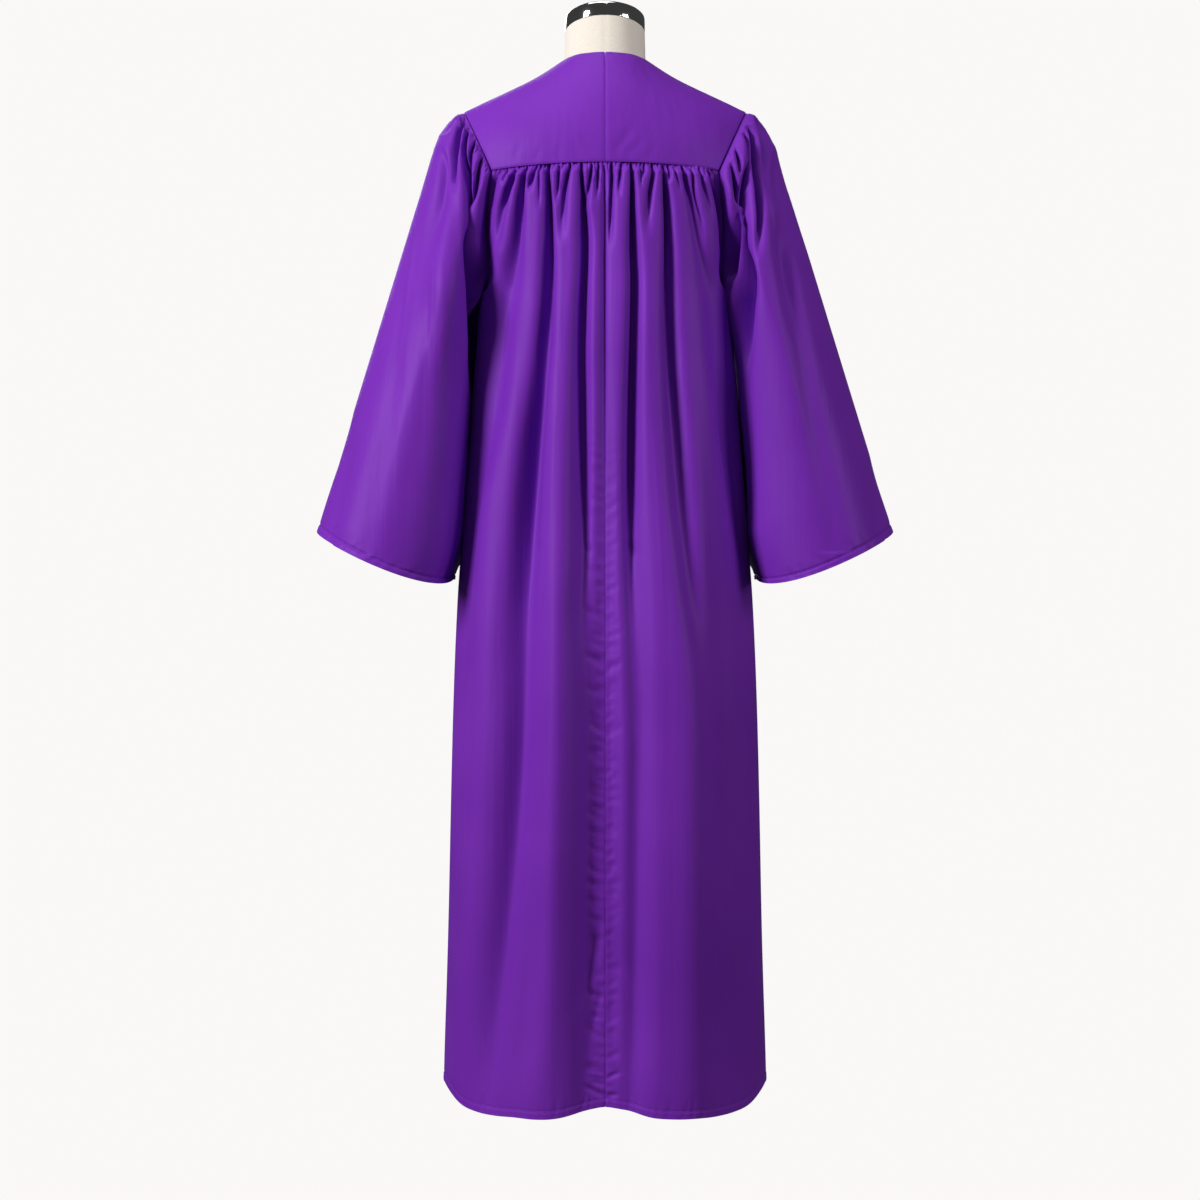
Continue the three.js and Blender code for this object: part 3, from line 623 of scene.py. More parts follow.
def weave(tree, place):
    """Fine over and under threads, from two sets of bands that cross."""
    crossed = tree.nodes.new("ShaderNodeMath")
    crossed.operation = "MULTIPLY"
    for number, direction in enumerate("XY"):
        wave = node(tree, "ShaderNodeTexWave", Scale=THREADS_PER_METRE / 20 * math.pi, Distortion=0.6)
        wave.wave_type = "BANDS"
        wave.bands_direction = direction
        tree.links.new(place, wave.inputs["Vector"])
        tree.links.new(wave.outputs["Fac"], crossed.inputs[number])
    return crossed.outputs[0]


def robe_cloth():
    material, tree, shader = new_material("robe_cloth")
    place = tree.nodes.new("ShaderNodeTexCoord").outputs
    dye = cloud(tree, place["Object"], 5.5, 3.0)
    colour = ramp(tree, dye, 0.3, 0.7, (0.175, 0.024, 0.43, 1), (0.205, 0.031, 0.485, 1))
    tree.links.new(colour, shader.inputs["Base Color"])
    tuned(shader, Roughness=0.48, Specular_IOR_Level=0.19, Specular_Tint=(0.7, 0.42, 1.0, 1))
    tuned(shader, Sheen_Weight=0.03, Sheen_Roughness=0.35, Sheen_Tint=(0.75, 0.55, 1.0, 1))
    under = bump(tree, weave(tree, place["UV"]), shader.inputs["Normal"], 0.35, 0.00008)
    streak = cloud(tree, stretched(tree, place["Object"], STREAK_SCALE), 1.0, 3.0)
    bump(tree, streak, under, 0.5, STREAK_DEPTH)
    return material


ROBE_CLOTH = robe_cloth()
print("robe cloth nodes:", len(ROBE_CLOTH.node_tree.nodes))

# %% [markdown]
# The back hangs from the yoke in small gathers. Many of them fade out within a hand's width, some merge, and
# six run on as long folds to below the waist. Each fold is placed as one path from its top to its
# bottom. Every point of a path gives x, z, depth and half width in millimetres; a negative depth is a ridge.
# Paths are given as the camera sees them, in the upright plane through the middle of the robe, because folds
# are judged against a picture. The function seen_from_behind brings any point of the cloth into that plane.
# Lower down the paths fade, and broad swells carry the shape on to the hem.

# %% Folds of the back
BACK_LEFT_PATHS = [
    [(130, 1202.7, 2, 3), (135.2, 1193.6, 4, 3.5), (139.1, 1181.9, 4, 4.5), (141.7, 1168.9, 3, 5),
     (143, 1152, 0, 6)],
    [(109.2, 1205.3, 4, 2.4), (111.8, 1191, 8, 3.4), (117, 1178, 9, 4), (120.9, 1165, 8, 4.5),
     (124.8, 1150.7, 6, 5), (127.4, 1135.1, 5, 5), (128.7, 1118.2, 3, 5), (130, 1100, 0, 6)],
    [(119.6, 1204, 2, 1.8), (122.2, 1193.6, 3, 2), (124.8, 1181.9, 0, 2.5)],
    [(94.9, 1207.9, 3, 2.4), (97.5, 1193.6, 7, 3.6), (100.1, 1178, 9, 4.5), (101.4, 1158.5, 9, 5.2),
     (102.7, 1139, 9, 6), (104.7, 1116.9, 9, 6.5), (107.2, 1097.4, 9, 7.5), (110.5, 1076.6, 9, 9),
     (114.4, 1054.5, 9, 10), (119.6, 1028.5, 9, 11), (126.1, 983, 9, 12), (133.9, 905, 9, 12),
     (146.9, 814, 7, 10), (158.6, 736, 6, 9), (163.8, 645, 6, 9), (166.4, 515, 5, 10), (167.7, 385, 3, 10),
     (169, 255, 0, 12)],
    [(83.2, 1209.2, 4, 2), (85.2, 1197.5, 7, 2.6), (88.4, 1185.8, 5, 3.4), (91.7, 1172.8, 0, 4.5)],
    [(77.4, 1210.5, 3, 1.8), (77.4, 1193.6, 3, 1.8), (76.7, 1171.5, 2, 2), (76, 1149.4, 0, 2.5)],
    [(72.2, 1211.8, 3, 1.6), (70.2, 1202.7, 1.5, 1.8), (68.9, 1193.6, 0, 2)],
    [(67, 1214.4, 5, 2.2), (66.3, 1197.5, 9, 2.8), (65.7, 1178, 12, 3.6), (65, 1152, 13, 4.6),
     (65, 1126, 13, 5.6), (65, 1093.5, 13, 6.5), (65.7, 1061, 13, 7), (67.6, 1022, 13, 7.5),
     (71.5, 970, 13, 8.5), (78, 905, 14, 9.5), (85.8, 840, 14, 11), (92.3, 775, 14, 12), (98.8, 697, 14, 13),
     (106.6, 619, 14, 14), (114.4, 515, 13, 15), (120.9, 411, 12, 15), (127.4, 307, 10, 15)],
    [(52, 1210.5, 4, 1.9), (52.6, 1197.5, 6, 2.2), (53.3, 1183.2, 5, 2.4), (54.6, 1167.6, 2, 3),
     (55.2, 1154.6, 0, 3)],
    [(38.4, 1211.8, 5, 2), (40.3, 1200.1, 8, 2.6), (42.9, 1187.1, 7, 3.4), (45.5, 1170.2, 6, 4.4),
     (46.8, 1152, 5, 5), (48.1, 1131.2, 3, 6), (48.8, 1106.5, 0, 7)],
    [(32.5, 1213.1, 2, 1.5), (30.6, 1204, 0, 1.8)],
    [(24.1, 1213.1, 6, 2.2), (23.4, 1197.5, 10, 2.8), (22.5, 1178, 12, 4), (21.4, 1158.5, 13, 5),
     (20.2, 1136.4, 14, 6.2), (19.5, 1113, 14, 7), (19.5, 1089.6, 14, 7), (20.8, 1054.5, 14, 7),
     (22.1, 1022, 14, 7.5), (23.4, 970, 13, 8), (23.4, 905, 13, 8.5), (23.4, 801, 12, 9), (23.4, 697, 11, 9),
     (26, 619, 11, 10), (24.7, 515, 10, 10), (27.3, 411, 9, 12), (29.9, 307, 8, 14)],
    [(10.4, 1211.8, 5, 1.9), (11.7, 1200.1, 8, 2.4), (13.7, 1185.8, 7, 3), (15.6, 1171.5, 5, 3.6),
     (18.2, 1154.6, 0, 4.5)],
    [(0.7, 1211.8, 4, 1.8), (2.6, 1201.4, 6, 2.2), (3.5, 1187.1, 5, 2.8), (3.9, 1172.8, 2, 3),
     (3.9, 1161.1, 0, 3)],
    [(-5.2, 1211.8, 2, 2.2), (-5.2, 1165, 4, 3.4), (-5.2, 1100, 4, 4.2), (-5.2, 1009, 3.5, 5),
     (-5.2, 905, 3, 6), (-5.2, 749, 0, 7)],
]
BACK_RIGHT_PATHS = [
    [(7.2, 1211.8, 1, 2.2), (7.2, 1165, 2, 3.4), (7.2, 1087, 2, 4), (6.5, 983, 2, 5), (5.2, 749, 0, 6)],
    [(15, 1213.1, 6, 2.2), (15.6, 1197.5, 8, 2.8), (15, 1178, 7, 3), (14.3, 1157.2, 6, 3.2),
     (13.7, 1132.5, 4, 3.6), (13, 1100, 0, 4)],
    [(27.3, 1211.8, 5, 2), (26, 1198.8, 6, 2.4), (24.7, 1183.2, 3, 2.8), (24.7, 1165, 0, 3)],
    [(40.3, 1213.1, 6, 2.2), (41, 1197.5, 10, 2.8), (41.6, 1178, 12, 3.6), (41.6, 1157.2, 13, 4.4),
     (42.2, 1132.5, 14, 5.4), (42.9, 1100, 14, 6.5), (44.2, 1067.5, 14, 6.8), (44.2, 1035, 14, 7),
     (42.9, 970, 13, 7.5), (41.6, 905, 13, 8), (40.3, 775, 12, 9), (40.3, 645, 10, 10), (41.6, 515, 9, 11),
     (41.6, 411, 8, 12), (40.3, 307, 6, 13)],
    [(52, 1211.8, 3, 1.6), (52, 1196.2, 3, 1.6), (52.6, 1178, 0, 1.8)],
    [(57.9, 1211.8, 4, 1.8), (55.9, 1201.4, 4, 2), (53.3, 1191, 0, 2.4)],
    [(67.6, 1211.8, 5, 2.2), (67.6, 1197.5, 8, 2.6), (65.7, 1185.8, 8, 3.2), (63.7, 1174.1, 7, 3.8),
     (62.4, 1159.8, 5, 4.5), (61.1, 1141.6, 3, 5.5), (60.5, 1115.6, 0, 6.5)],
    [(81.9, 1210.5, 5, 2.4), (82.5, 1196.2, 8, 3.2), (83.9, 1180.6, 10, 4.2), (85.2, 1165, 11, 5),
     (86.5, 1144.2, 12, 5.2), (87.1, 1123.4, 12, 5.6), (87.8, 1100, 12, 6.2), (87.8, 1061, 12, 6.8),
     (88.4, 1009, 12, 7.5), (91, 944, 12, 8.2), (93.6, 905, 12, 9), (102.7, 775, 12, 11),
     (109.2, 697, 12, 11), (117, 619, 12, 12), (130, 515, 11, 13), (143, 411, 9, 14), (161.2, 346, 6, 14)],
    [(88.4, 1210.5, 4, 1.8), (89, 1197.5, 5, 2), (89, 1185.8, 0, 2.6)],
    [(94.9, 1209.2, 3, 1.6), (96.2, 1198.8, 3, 1.8), (99.5, 1185.8, 2, 2), (101.4, 1170.2, 0, 2.4)],
    [(106.6, 1207.9, 5, 2.2), (108.5, 1193.6, 8, 3.2), (111.2, 1179.3, 7, 4), (114.4, 1165, 6, 4.6),
     (117, 1146.8, 5, 5), (120.2, 1126, 5, 5.6), (123.5, 1105.2, 4.5, 6.4), (127.4, 1084.4, 4.5, 7.4),
     (131.3, 1058.4, 4.5, 8.6), (135.2, 1032.4, 5, 9.4), (141.7, 970, 6, 10), (152.1, 905, 8, 10),
     (161.2, 840, 8, 10), (170.3, 762, 7, 9), (178.1, 697, 6, 9), (180.7, 593, 6, 9), (182, 463, 5, 10),
     (182, 307, 4, 11), (182, 125, 3, 12)],
    [(117, 1205.3, 4, 1.8), (117.7, 1193.6, 6, 2), (119, 1178, 5, 2.2), (122.2, 1159.8, 4, 2.4),
     (126.1, 1139, 3, 2.8), (130, 1113, 0, 3.4)],
    [(127.4, 1205.3, 3, 1.8), (128.7, 1192.3, 5, 2.4), (131.3, 1175.4, 4, 3), (134.6, 1157.2, 2, 3.8),
     (137.8, 1136.4, 0, 4.5)],
    [(138.5, 1204, 3, 2), (141.7, 1193.6, 6, 3.2), (146.2, 1178, 6, 4.2), (150.8, 1159.8, 5, 4.8),
     (154.7, 1140.3, 5, 5), (158, 1119.5, 4, 5), (161.2, 1097.4, 4, 5), (163.8, 1076.6, 3, 5),
     (166.4, 1054.5, 0, 6)],
    [(148.2, 1201.4, 3, 2.2), (149.5, 1188.4, 3, 2.6), (152.1, 1175.4, 0, 3)],
]
SWELL_HEIGHTS = [1190, 1020, 860, 640, 480, 340, 120, 12]
PATH_FADE = (430, 860)


def broad_folds(heights, *rows):
    """Broad folds from rows of x, depth and half width, each given at all the heights; one width may do."""
    return [
        dict(z=heights, x=x, depth=depth, width=width if isinstance(width, list) else [width] * len(heights))
        for x, depth, width in rows
    ]


CENTRE_VALLEY = broad_folds(
    SWELL_HEIGHTS,
    ([0] * 8, [0, 0, 3, 12, 17, 20, 23, 26], [27, 27, 27, 27, 28, 31, 35, 40]))
BACK_LEFT_SWELLS = broad_folds(
    SWELL_HEIGHTS,
    ([26, 26, 24, 21, 21, 22, 25, 30], [0, 0, 2, 6, 8, 8, 7, 2], 12),
    ([56, 56, 56, 57, 58, 62, 70, 80], [0, 0, -5, -10, -12, -13, -12, -6], [17, 17, 17, 17, 18, 19, 22, 28]),
    ([92, 92, 92, 98, 105, 115, 138, 146], [0, 0, 8, 16, 20, 18, 10, 0], 16),
    ([142, 142, 142, 144, 148, 156, 176, 184], [0, 0, -3, -6, -7, -7, -5, 0], 16))
BACK_RIGHT_SWELLS = broad_folds(
    SWELL_HEIGHTS,
    ([12, 12, 12, 12, 13, 13, 13, 13], [0, 0, 0, 2, 3, 3, 2, 0], 12),
    ([36, 36, 38, 41, 42, 41, 39, 36], [0, 0, 4, 12, 15, 15, 14, 8], 15),
    ([90, 90, 92, 98, 101, 102, 104, 106], [0, 0, -4, -9, -11, -11, -10, -8],
     [26, 26, 26, 26, 26, 28, 30, 34]),
    ([120, 126, 130, 138, 140, 140, 140, 140], [-3, -7, -5, -1, 0, 0, 0, 0], 19),
    ([130, 130, 132, 138, 145, 151, 148, 142], [0, 0, 2, 4, 5, 6, 5, 0], 20),
    ([160, 160, 162, 168, 176, 184, 188, 188], [0, 0, -1, -2, -3, -4, -4, 0], 16))
GATHER = dict(depth=4.2, mouth=0.45, width=2.7, widening=0.055, widest_at=80, swell=0.8)
PATH_DEPTH = 1.6


def seen_from_behind(points, mirrored):
    """Distance from the centre line and height of points, as the camera sees them."""
    side = -CAMERA_SIDE if mirrored else CAMERA_SIDE
    scale = CAMERA_DISTANCE / (CAMERA_DISTANCE - points[..., 1] * MM)
    x = (points[..., 0] - side / MM) * scale
    z = (points[..., 2] - CAMERA_HEIGHT / MM) * scale + CAMERA_HEIGHT / MM
    return x, z


def path_height(paths, x, z):
    """Troughs along paths that fall from top to bottom, with their widths measured across the path."""
    height = np.zeros_like(x)
    for path in paths:
        px, pz, depth, width = np.array(path, float).T
        centre = through(pz, px, z)
        slant = (through(pz, px, z + 1) - through(pz, px, z - 1)) / 2
        across = (x - centre) / np.sqrt(1 + slant**2)
        shown = smooth(pz[0] - z, -2.5, 2.5) * (z > pz[-1]) * smooth(z, *PATH_FADE)
        height -= PATH_DEPTH * through(pz, depth, z) * shown * trough(across, through(pz, width, z))
    return height


def fold_height(folds, x, z):
    """Height of broad folds at a distance x from the centre seam and a height z."""
    height = np.zeros_like(x)
    for fold in folds:
        centre = through(fold["z"], fold["x"], z)
        depth = through(fold["z"], fold["depth"], z)
        width = through(fold["z"], fold["width"], z)
        height -= depth * bell((x - centre) / width)
    return height


def gather_height(gathers, x, below):
    """Short creases under a gathered seam: narrow at the seam, wider and shallower further down."""
    height = np.zeros_like(x)
    for number, gather in enumerate(gathers):
        depth = GATHER["depth"] * (1 + 0.3 * math.sin(2.3 * number + 1))
        lean = 0.05 * math.sin(1.9 * number) * below
        opening = GATHER["mouth"] + (1 - GATHER["mouth"]) * smooth(below, 0, 9)
        fade = 1 - smooth(below, 0.3 * gather["length"], gather["length"])
        width = GATHER["width"] + GATHER["widening"] * np.minimum(below, GATHER["widest_at"])
        height -= depth * opening * fade * bell((x - gather["x"] - lean) / width)
    swell = GATHER["depth"] * GATHER["swell"] * smooth(below, 0, 10) * (1 - smooth(below, 20, 110))
    return height + swell


def crease(x, z, start, end, width, depth):
    """A soft straight crease between two points, given as (x, z), that fades out at its ends."""
    run = np.array(end, float) - np.array(start, float)
    length = math.hypot(*run)
    along = ((x - start[0]) * run[0] + (z - start[1]) * run[1]) / length
    off = ((x - start[0]) * run[1] - (z - start[1]) * run[0]) / length
    ends = smooth(along, -0.1 * length, 0.25 * length) * (1 - smooth(along, 0.5 * length, length))
    return -depth * bell(off / width) * ends


print("fold paths of the back:", len(BACK_LEFT_PATHS) + len(BACK_RIGHT_PATHS))

# %% [markdown]
# One function makes all four long panels. Their columns lie closer together where the cloth bends, and
# their rows under the yoke and at the hem. The edges roll inwards at every seam, which is what draws a seam
# as a fine dark line. The hem is a doubled band with a line of stitches above it, and both the hem and the
# drawn centre seam pucker. Folds fade out before the side seam, so that the back and the front meet there.

# %% Panels
PANEL_COLUMNS = dict(back=150, front=86)
FINE_COLUMNS = 640
ROW_PITCH = [(YOKE_SEAM_Z, 1120, 1.7), (1120, 860, 5.2), (860, 60, 4.0)]
FRONT_COARSER = 1.6
HEM_ROWS = 26
HEM_BAND = 9.5
HEM_FULLNESS = 0.5
HEM_RISE = 0.45
HEM_GROOVE = dict(depth=0.55, width=0.46)
HEM_PUCKER = 2.4
HEM_PUCKER_PITCH = (7, 15)
SEAM_ROLL = 1.3
SEAM_EDGE = 1.5
GATHERED_SINK = 1.7
BACK_SWELL = dict(height=9, starts=12, fades=(500, 1100), side=30)
SIDE_FADES = (0.84, 0.97)
ARMHOLE_RISE = 60
CENTRE_MEETS = 14
CLOSING_FLAT = (22, 38)
HEM_LIFT_TOP = 150
HEM_LIFT = dict(
    x=[0, 7, 28, 58, 85, 110, 135, 160, 182, 205],
    lift=[9, 8.8, 6, 0, -2, -3, -5, -5, -1, 14],
)
ALLOWANCE = 5


def panel_levels(side):
    """Heights of the rows of a panel, from the yoke seam to the hem."""
    coarser = 1 if side == "back" else FRONT_COARSER
    upper, *others = [np.arange(top, low, -pitch * coarser) for top, low, pitch in ROW_PITCH]
    hem = np.linspace(ROW_PITCH[-1][1], HEM_Z, HEM_ROWS)
    return np.concatenate([upper, *(rows[:-1] for rows in others), hem])


def hem_thickness(above):
    return CLOTH + HEM_FULLNESS * (1 - smooth(above, HEM_BAND - 1, HEM_BAND))


def seam_ticks(x, below, seed):
    """Tiny uneven tucks right under a gathered seam, between the larger gathers."""
    rng = np.random.default_rng(seed + 50)
    height = np.zeros_like(x)
    place = 3.0
    while place < CORNER_X - 3:
        length = rng.uniform(8, 24)
        depth = rng.uniform(1.8, 3.8)
        lean = rng.uniform(-0.25, 0.25)
        off = (x - place - lean * below) / rng.uniform(1.1, 1.6)
        height -= depth * bell(off) * (1 - smooth(below, 0.3 * length, length))
        place += rng.uniform(3.0, 6.2)
    return height


def hem_height(arc, above, seed, strength=1, width=HEM_PUCKER):
    """Band, stitch groove and small puckers of a hem; above is the distance from its edge."""
    rng = np.random.default_rng(seed)
    height = HEM_RISE * (1 - smooth(above, HEM_BAND - 1.2, HEM_BAND))
    height -= HEM_GROOVE["depth"] * strength * bell((above - HEM_BAND) / (HEM_GROOVE["width"] * width))
    place = 0.0
    while place < arc.max():
        place += rng.uniform(*HEM_PUCKER_PITCH) * width / HEM_PUCKER
        slant = rng.uniform(-0.35, 0.35)
        depth = rng.uniform(0.25, 0.75)
        reach = rng.uniform(12, 24)
        span = smooth(above, 0, 3) * (1 - smooth(above, HEM_BAND, HEM_BAND + reach))
        height -= strength * depth * span * bell((arc - place - slant * above) / width)
    return height


def centre_puckers(x, z, seed, reach, strength):
    """Small slanting puckers where the centre seam is drawn tight, stronger further down."""
    rng = np.random.default_rng(seed)
    height = np.zeros_like(x)
    near = x < 60
    place = 850.0
    while place > 30:
        place -= rng.uniform(7, 16)
        length = reach * rng.uniform(0.5, 1.3)
        rise = rng.uniform(0.1, 0.75) * length
        depth = strength * rng.uniform(0.4, 1.1) * float(1 - 0.6 * smooth(place, 500, 850))
        height[near] += crease(x[near], z[near], (0.5, place), (length, place + rise), 3.2, depth)
    return height


def make_panel(name, side, folds, gathers, mirrored, seed, creases, puckers=None):
    """One long panel, from the yoke seam to the hem and from the centre to the side seam."""
    behind = side == "back"
    away = 1 if behind else -1
    z, share = np.meshgrid(panel_levels(side), np.linspace(0, 1, FINE_COLUMNS), indexing="ij")
    base, normal = body_point(z, column_angle(share, z), side)
    x = base[..., 0].copy()
    arc = travelled(base, 1)
    from_edge = arc[:, -1:] - arc
    below = YOKE_SEAM_Z - z
    above = z - HEM_Z
    open_side = 1 - smooth(share, *SIDE_FADES)
    height = fold_height(folds, x, z) * open_side
    if behind:
        armhole = smooth(z, UNDERARM_Z, UNDERARM_Z + ARMHOLE_RISE)
        calm = open_side * (1 - armhole) + smooth(from_edge, 1, 10) * armhole
        height += path_height(gathers, *seen_from_behind(base, mirrored)) * calm
        swell = smooth(below, 0, BACK_SWELL["starts"]) * (1 - smooth(below, *BACK_SWELL["fades"]))
        height += BACK_SWELL["height"] * swell * smooth(from_edge, 0, BACK_SWELL["side"])
        height += seam_ticks(x, below, seed)
        height -= height[:, :1] * bell(arc / CENTRE_MEETS)
        height += fold_height(CENTRE_VALLEY, x, z)
    else:
        height += gather_height(gathers, x, below) * smooth(1 - share, 0, 0.04)
        height *= smooth(x, *CLOSING_FLAT)
    if puckers:
        height += centre_puckers(x, z, **puckers)
    for line in creases:
        height += crease(x, z, **line)
    height -= SEAM_ROLL * (bell(arc / SEAM_EDGE) + bell(from_edge / SEAM_EDGE))
    height -= GATHERED_SINK * bell(below / 2.4)
    height += hem_height(arc, above, seed)
    lift = through(HEM_LIFT["x"], HEM_LIFT["lift"], x) * (1 if behind else smooth(share, 0.6, 0.9))
    base[..., 2] += lift * (1 - smooth(z, HEM_Z, HEM_LIFT_TOP))
    base += [SEAM_GAP / 2, away * SEAM_GAP / 2, 0]
    base[0, :, 2] -= SEAM_GAP / 2
    base, normal, height, pick = crowd_columns(base, normal, height, PANEL_COLUMNS[side])
    trace_stitches(name, base, normal, height, mirrored, pick(above), HEM_BAND)
    grids = base, normal, height, pick(hem_thickness(above))
    if behind and not mirrored:
        grids = with_flange(*grids, (-1, 0, 0))
    if behind:
        grids = flipped(*with_flange(*flipped(*grids), (0, -1, 0)))
    allowance = grids[0][0] - grids[1][0] * 2.5 + [0, 0, ALLOWANCE]
    return cloth_wall(name, *with_allowance(*grids, allowance), mirrored=mirrored)


BACK_LEFT_CREASES = table(
    "start end width depth",
    ((4, 262), (42, 120), 9, 3.0),
    ((3, 170), (26, 96), 5, 1.6),
    ((58, 900), (68, 660), 1.6, -0.6),
    ((155, 720), (190, 60), 1.8, -0.7),
    ((76, 716), (92, 690), 6, 1.5))
BACK_RIGHT_CREASES = table(
    "start end width depth",
    ((3, 240), (34, 150), 8, 1.8),
    ((55, 900), (73, 560), 1.6, -0.6),
    ((168, 560), (184, 120), 1.8, -0.7),
    ((30, 718), (44, 694), 6, 1.5))
back_left = make_panel(
    "back_left_cloth", "back", BACK_LEFT_SWELLS, BACK_LEFT_PATHS, False, 1,
    BACK_LEFT_CREASES, dict(seed=11, reach=26, strength=2.6))
back_right = make_panel(
    "back_right_cloth", "back", BACK_RIGHT_SWELLS, BACK_RIGHT_PATHS, True, 2,
    BACK_RIGHT_CREASES, dict(seed=23, reach=20, strength=1.8))
tell(back_left, back_right)

# %% [markdown]
# The photograph doesn't show the front, so it is made like the back: gathers under the front yoke and long
# folds down to the hem, in other places. The strip of cloth beside the closing stays flat for the placket.

# %% Fronts
FOLD_HEIGHTS = [1190, 1020, 860, 640, 340, 12]
FRONT_LEFT_FOLDS = broad_folds(
    FOLD_HEIGHTS,
    ([44, 46, 46, 50, 56, 62], [2, 6, 8, 8, 9, 14], [5, 9, 11, 13, 15, 17]),
    ([78, 84, 92, 104, 118, 130], [2, 7, 10, 11, 8, 4], [5, 9, 12, 15, 15, 15]),
    ([108, 124, 144, 164, 172, 176], [2, 5, 6, 5, 3, 0], [5, 8, 9, 10, 12, 12]),
    ([60, 64, 70, 78, 90, 98], [0, 0, -2, -3, -6, -12], 34))
FRONT_RIGHT_FOLDS = broad_folds(
    FOLD_HEIGHTS,
    ([40, 40, 44, 46, 50, 54], [2, 7, 8, 9, 10, 16], [5, 9, 11, 13, 15, 17]),
    ([72, 80, 88, 96, 110, 124], [2, 6, 9, 10, 9, 3], [5, 9, 12, 14, 15, 15]),
    ([106, 120, 140, 162, 170, 174], [2, 6, 7, 4, 3, 0], [5, 8, 9, 10, 12, 12]),
    ([58, 60, 68, 74, 84, 90], [0, 0, -2, -3, -6, -13], 34))


def uneven_gathers(count, low, high, seed):
    """Gathers spread between two distances from the centre, uneven in place and length."""
    rng = np.random.default_rng(seed)
    pitch = (high - low) / count
    return [
        dict(x=low + pitch * (k + rng.uniform(0.25, 0.75)), length=rng.uniform(32, 80))
        for k in range(count)
    ]


FRONT_CREASES = table(
    "start end width depth",
    ((60, 980), (74, 640), 1.6, -0.6),
    ((160, 620), (186, 80), 1.8, -0.7))
FRONT_GATHERS = dict(count=12, low=30, high=141)
front_left = make_panel(
    "front_left_cloth", "front", FRONT_LEFT_FOLDS, uneven_gathers(**FRONT_GATHERS, seed=5), False, 3,
    FRONT_CREASES)
front_right = make_panel(
    "front_right_cloth", "front", FRONT_RIGHT_FOLDS, uneven_gathers(**FRONT_GATHERS, seed=6), True, 4,
    FRONT_CREASES)
tell(front_left, front_right)

# %% [markdown]
# The yoke is plain cloth laid smoothly over the shoulders. It has faint slanting wrinkles above the gathered
# seam, a turned edge with a fine groove of stitches round the neck, and rolled edges at its seams.

# %% Yoke
YOKE_COLUMNS = dict(back=42, back_edge=26, front_edge=26, front=34)
YOKE_ROWS = 50
NECK_SHARE = dict(back=0.7, front=0.4)
NECK_STITCH = 4.5
YOKE_LEFT_WRINKLES = table(
    "start end width depth",
    ((12, 1200), (34, 1232), 5, 0.9),
    ((30, 1196), (44, 1224), 4, 0.7),
    ((58, 1195), (60, 1216), 4, 0.6),
    ((88, 1195), (80, 1214), 4, 0.5),
    ((118, 1197), (100, 1226), 5, 0.6))
YOKE_RIGHT_WRINKLES = table(
    "start end width depth",
    ((12, 1203), (40, 1246), 6, 1.2),
    ((26, 1198), (52, 1228), 5, 0.9),
    ((50, 1195), (66, 1216), 4, 0.6),
    ((84, 1195), (84, 1212), 4, 0.5),
    ((120, 1197), (104, 1222), 5, 0.6))


def back_neck(share):
    angle = share * math.pi / 2
    x = NECK_HALF_WIDTH * np.sin(angle)
    depth = BODY[-1]["back"] * np.sqrt(1 - (x / BODY[-1]["half"]) ** 2)
    return x, np.arcsin(NECK_BACK_DEPTH * np.cos(angle) / depth)


def front_neck(share):
    x = NECK_HALF_WIDTH * (1 - share)
    return x, -turn_at_height(x, NECK_Z - V_DEPTH * share)


def yoke_edges():
    """Outer edge and neckline of one yoke, as matching (x, turn) pairs from centre back to centre front."""
    t = {name: np.linspace(0, 1, count) for name, count in YOKE_COLUMNS.items()}
    back = np.full(YOKE_COLUMNS["back"], math.pi / 2)
    front = np.full(YOKE_COLUMNS["front"], -math.pi / 2)
    behind = NECK_SHARE["back"]
    before = NECK_SHARE["front"]
    spans = [
        ((CORNER_X * t["back"], back), back_neck(behind * t["back"])),
        (yoke_armhole(1 - t["back_edge"], 1), back_neck(behind + (1 - behind) * t["back_edge"])),
        (yoke_armhole(t["front_edge"], -1), front_neck(before * t["front_edge"])),
        ((CORNER_X * (1 - t["front"]), front), front_neck(before + (1 - before) * t["front"])),
    ]

    def joined(line, k):
        return np.concatenate([span[line][k][min(number, 1):] for number, span in enumerate(spans)])

    return [[joined(line, k) for k in (0, 1)] for line in (0, 1)]


def make_yoke(name, wrinkles, mirrored):
    """Half of the yoke, with rows from the neckline to the seams and columns from centre back to front."""
    edge, neck = yoke_edges()
    down = np.linspace(0, 1, YOKE_ROWS)
    down = (0.5 * down + 0.25 * (1 - np.cos(math.pi * down)))[:, None]
    x = neck[0] * (1 - down) + edge[0] * down
    turn = neck[1] * (1 - down) + edge[1] * down
    base = yoke_point(x, turn)
    normal = yoke_normal(x, turn)
    from_neck = travelled(base, 0)
    behind = smooth(turn, 0.15, 0.5)
    in_front = 0.8 * smooth(-turn, 0.15, 0.5)
    height = np.zeros(x.shape)
    for wrinkle in wrinkles:
        height += crease(x, base[..., 2], **wrinkle) * behind
        height += crease(x, base[..., 2] + 5, **wrinkle) * in_front
    grooves = [
        (from_neck[-1:] - from_neck, 1.2, 0.7), (from_neck - NECK_STITCH, 1.0, 0.5), (from_neck, 0.9, 0.6),
        (x, 1.1, 0.9)]
    for off, width, depth in grooves:
        height -= depth * bell(off / width)
    base = base + [SEAM_GAP / 2, 0, SEAM_GAP / 2]
    trace_stitches(name, base, normal, height, mirrored, from_neck, NECK_STITCH)
    return cloth_wall(name, base, normal, height, CLOTH, mirrored=mirrored)


yoke_left = make_yoke("yoke_left_cloth", YOKE_LEFT_WRINKLES, False)
yoke_right = make_yoke("yoke_right_cloth", YOKE_RIGHT_WRINKLES, True)
tell(yoke_left, yoke_right)

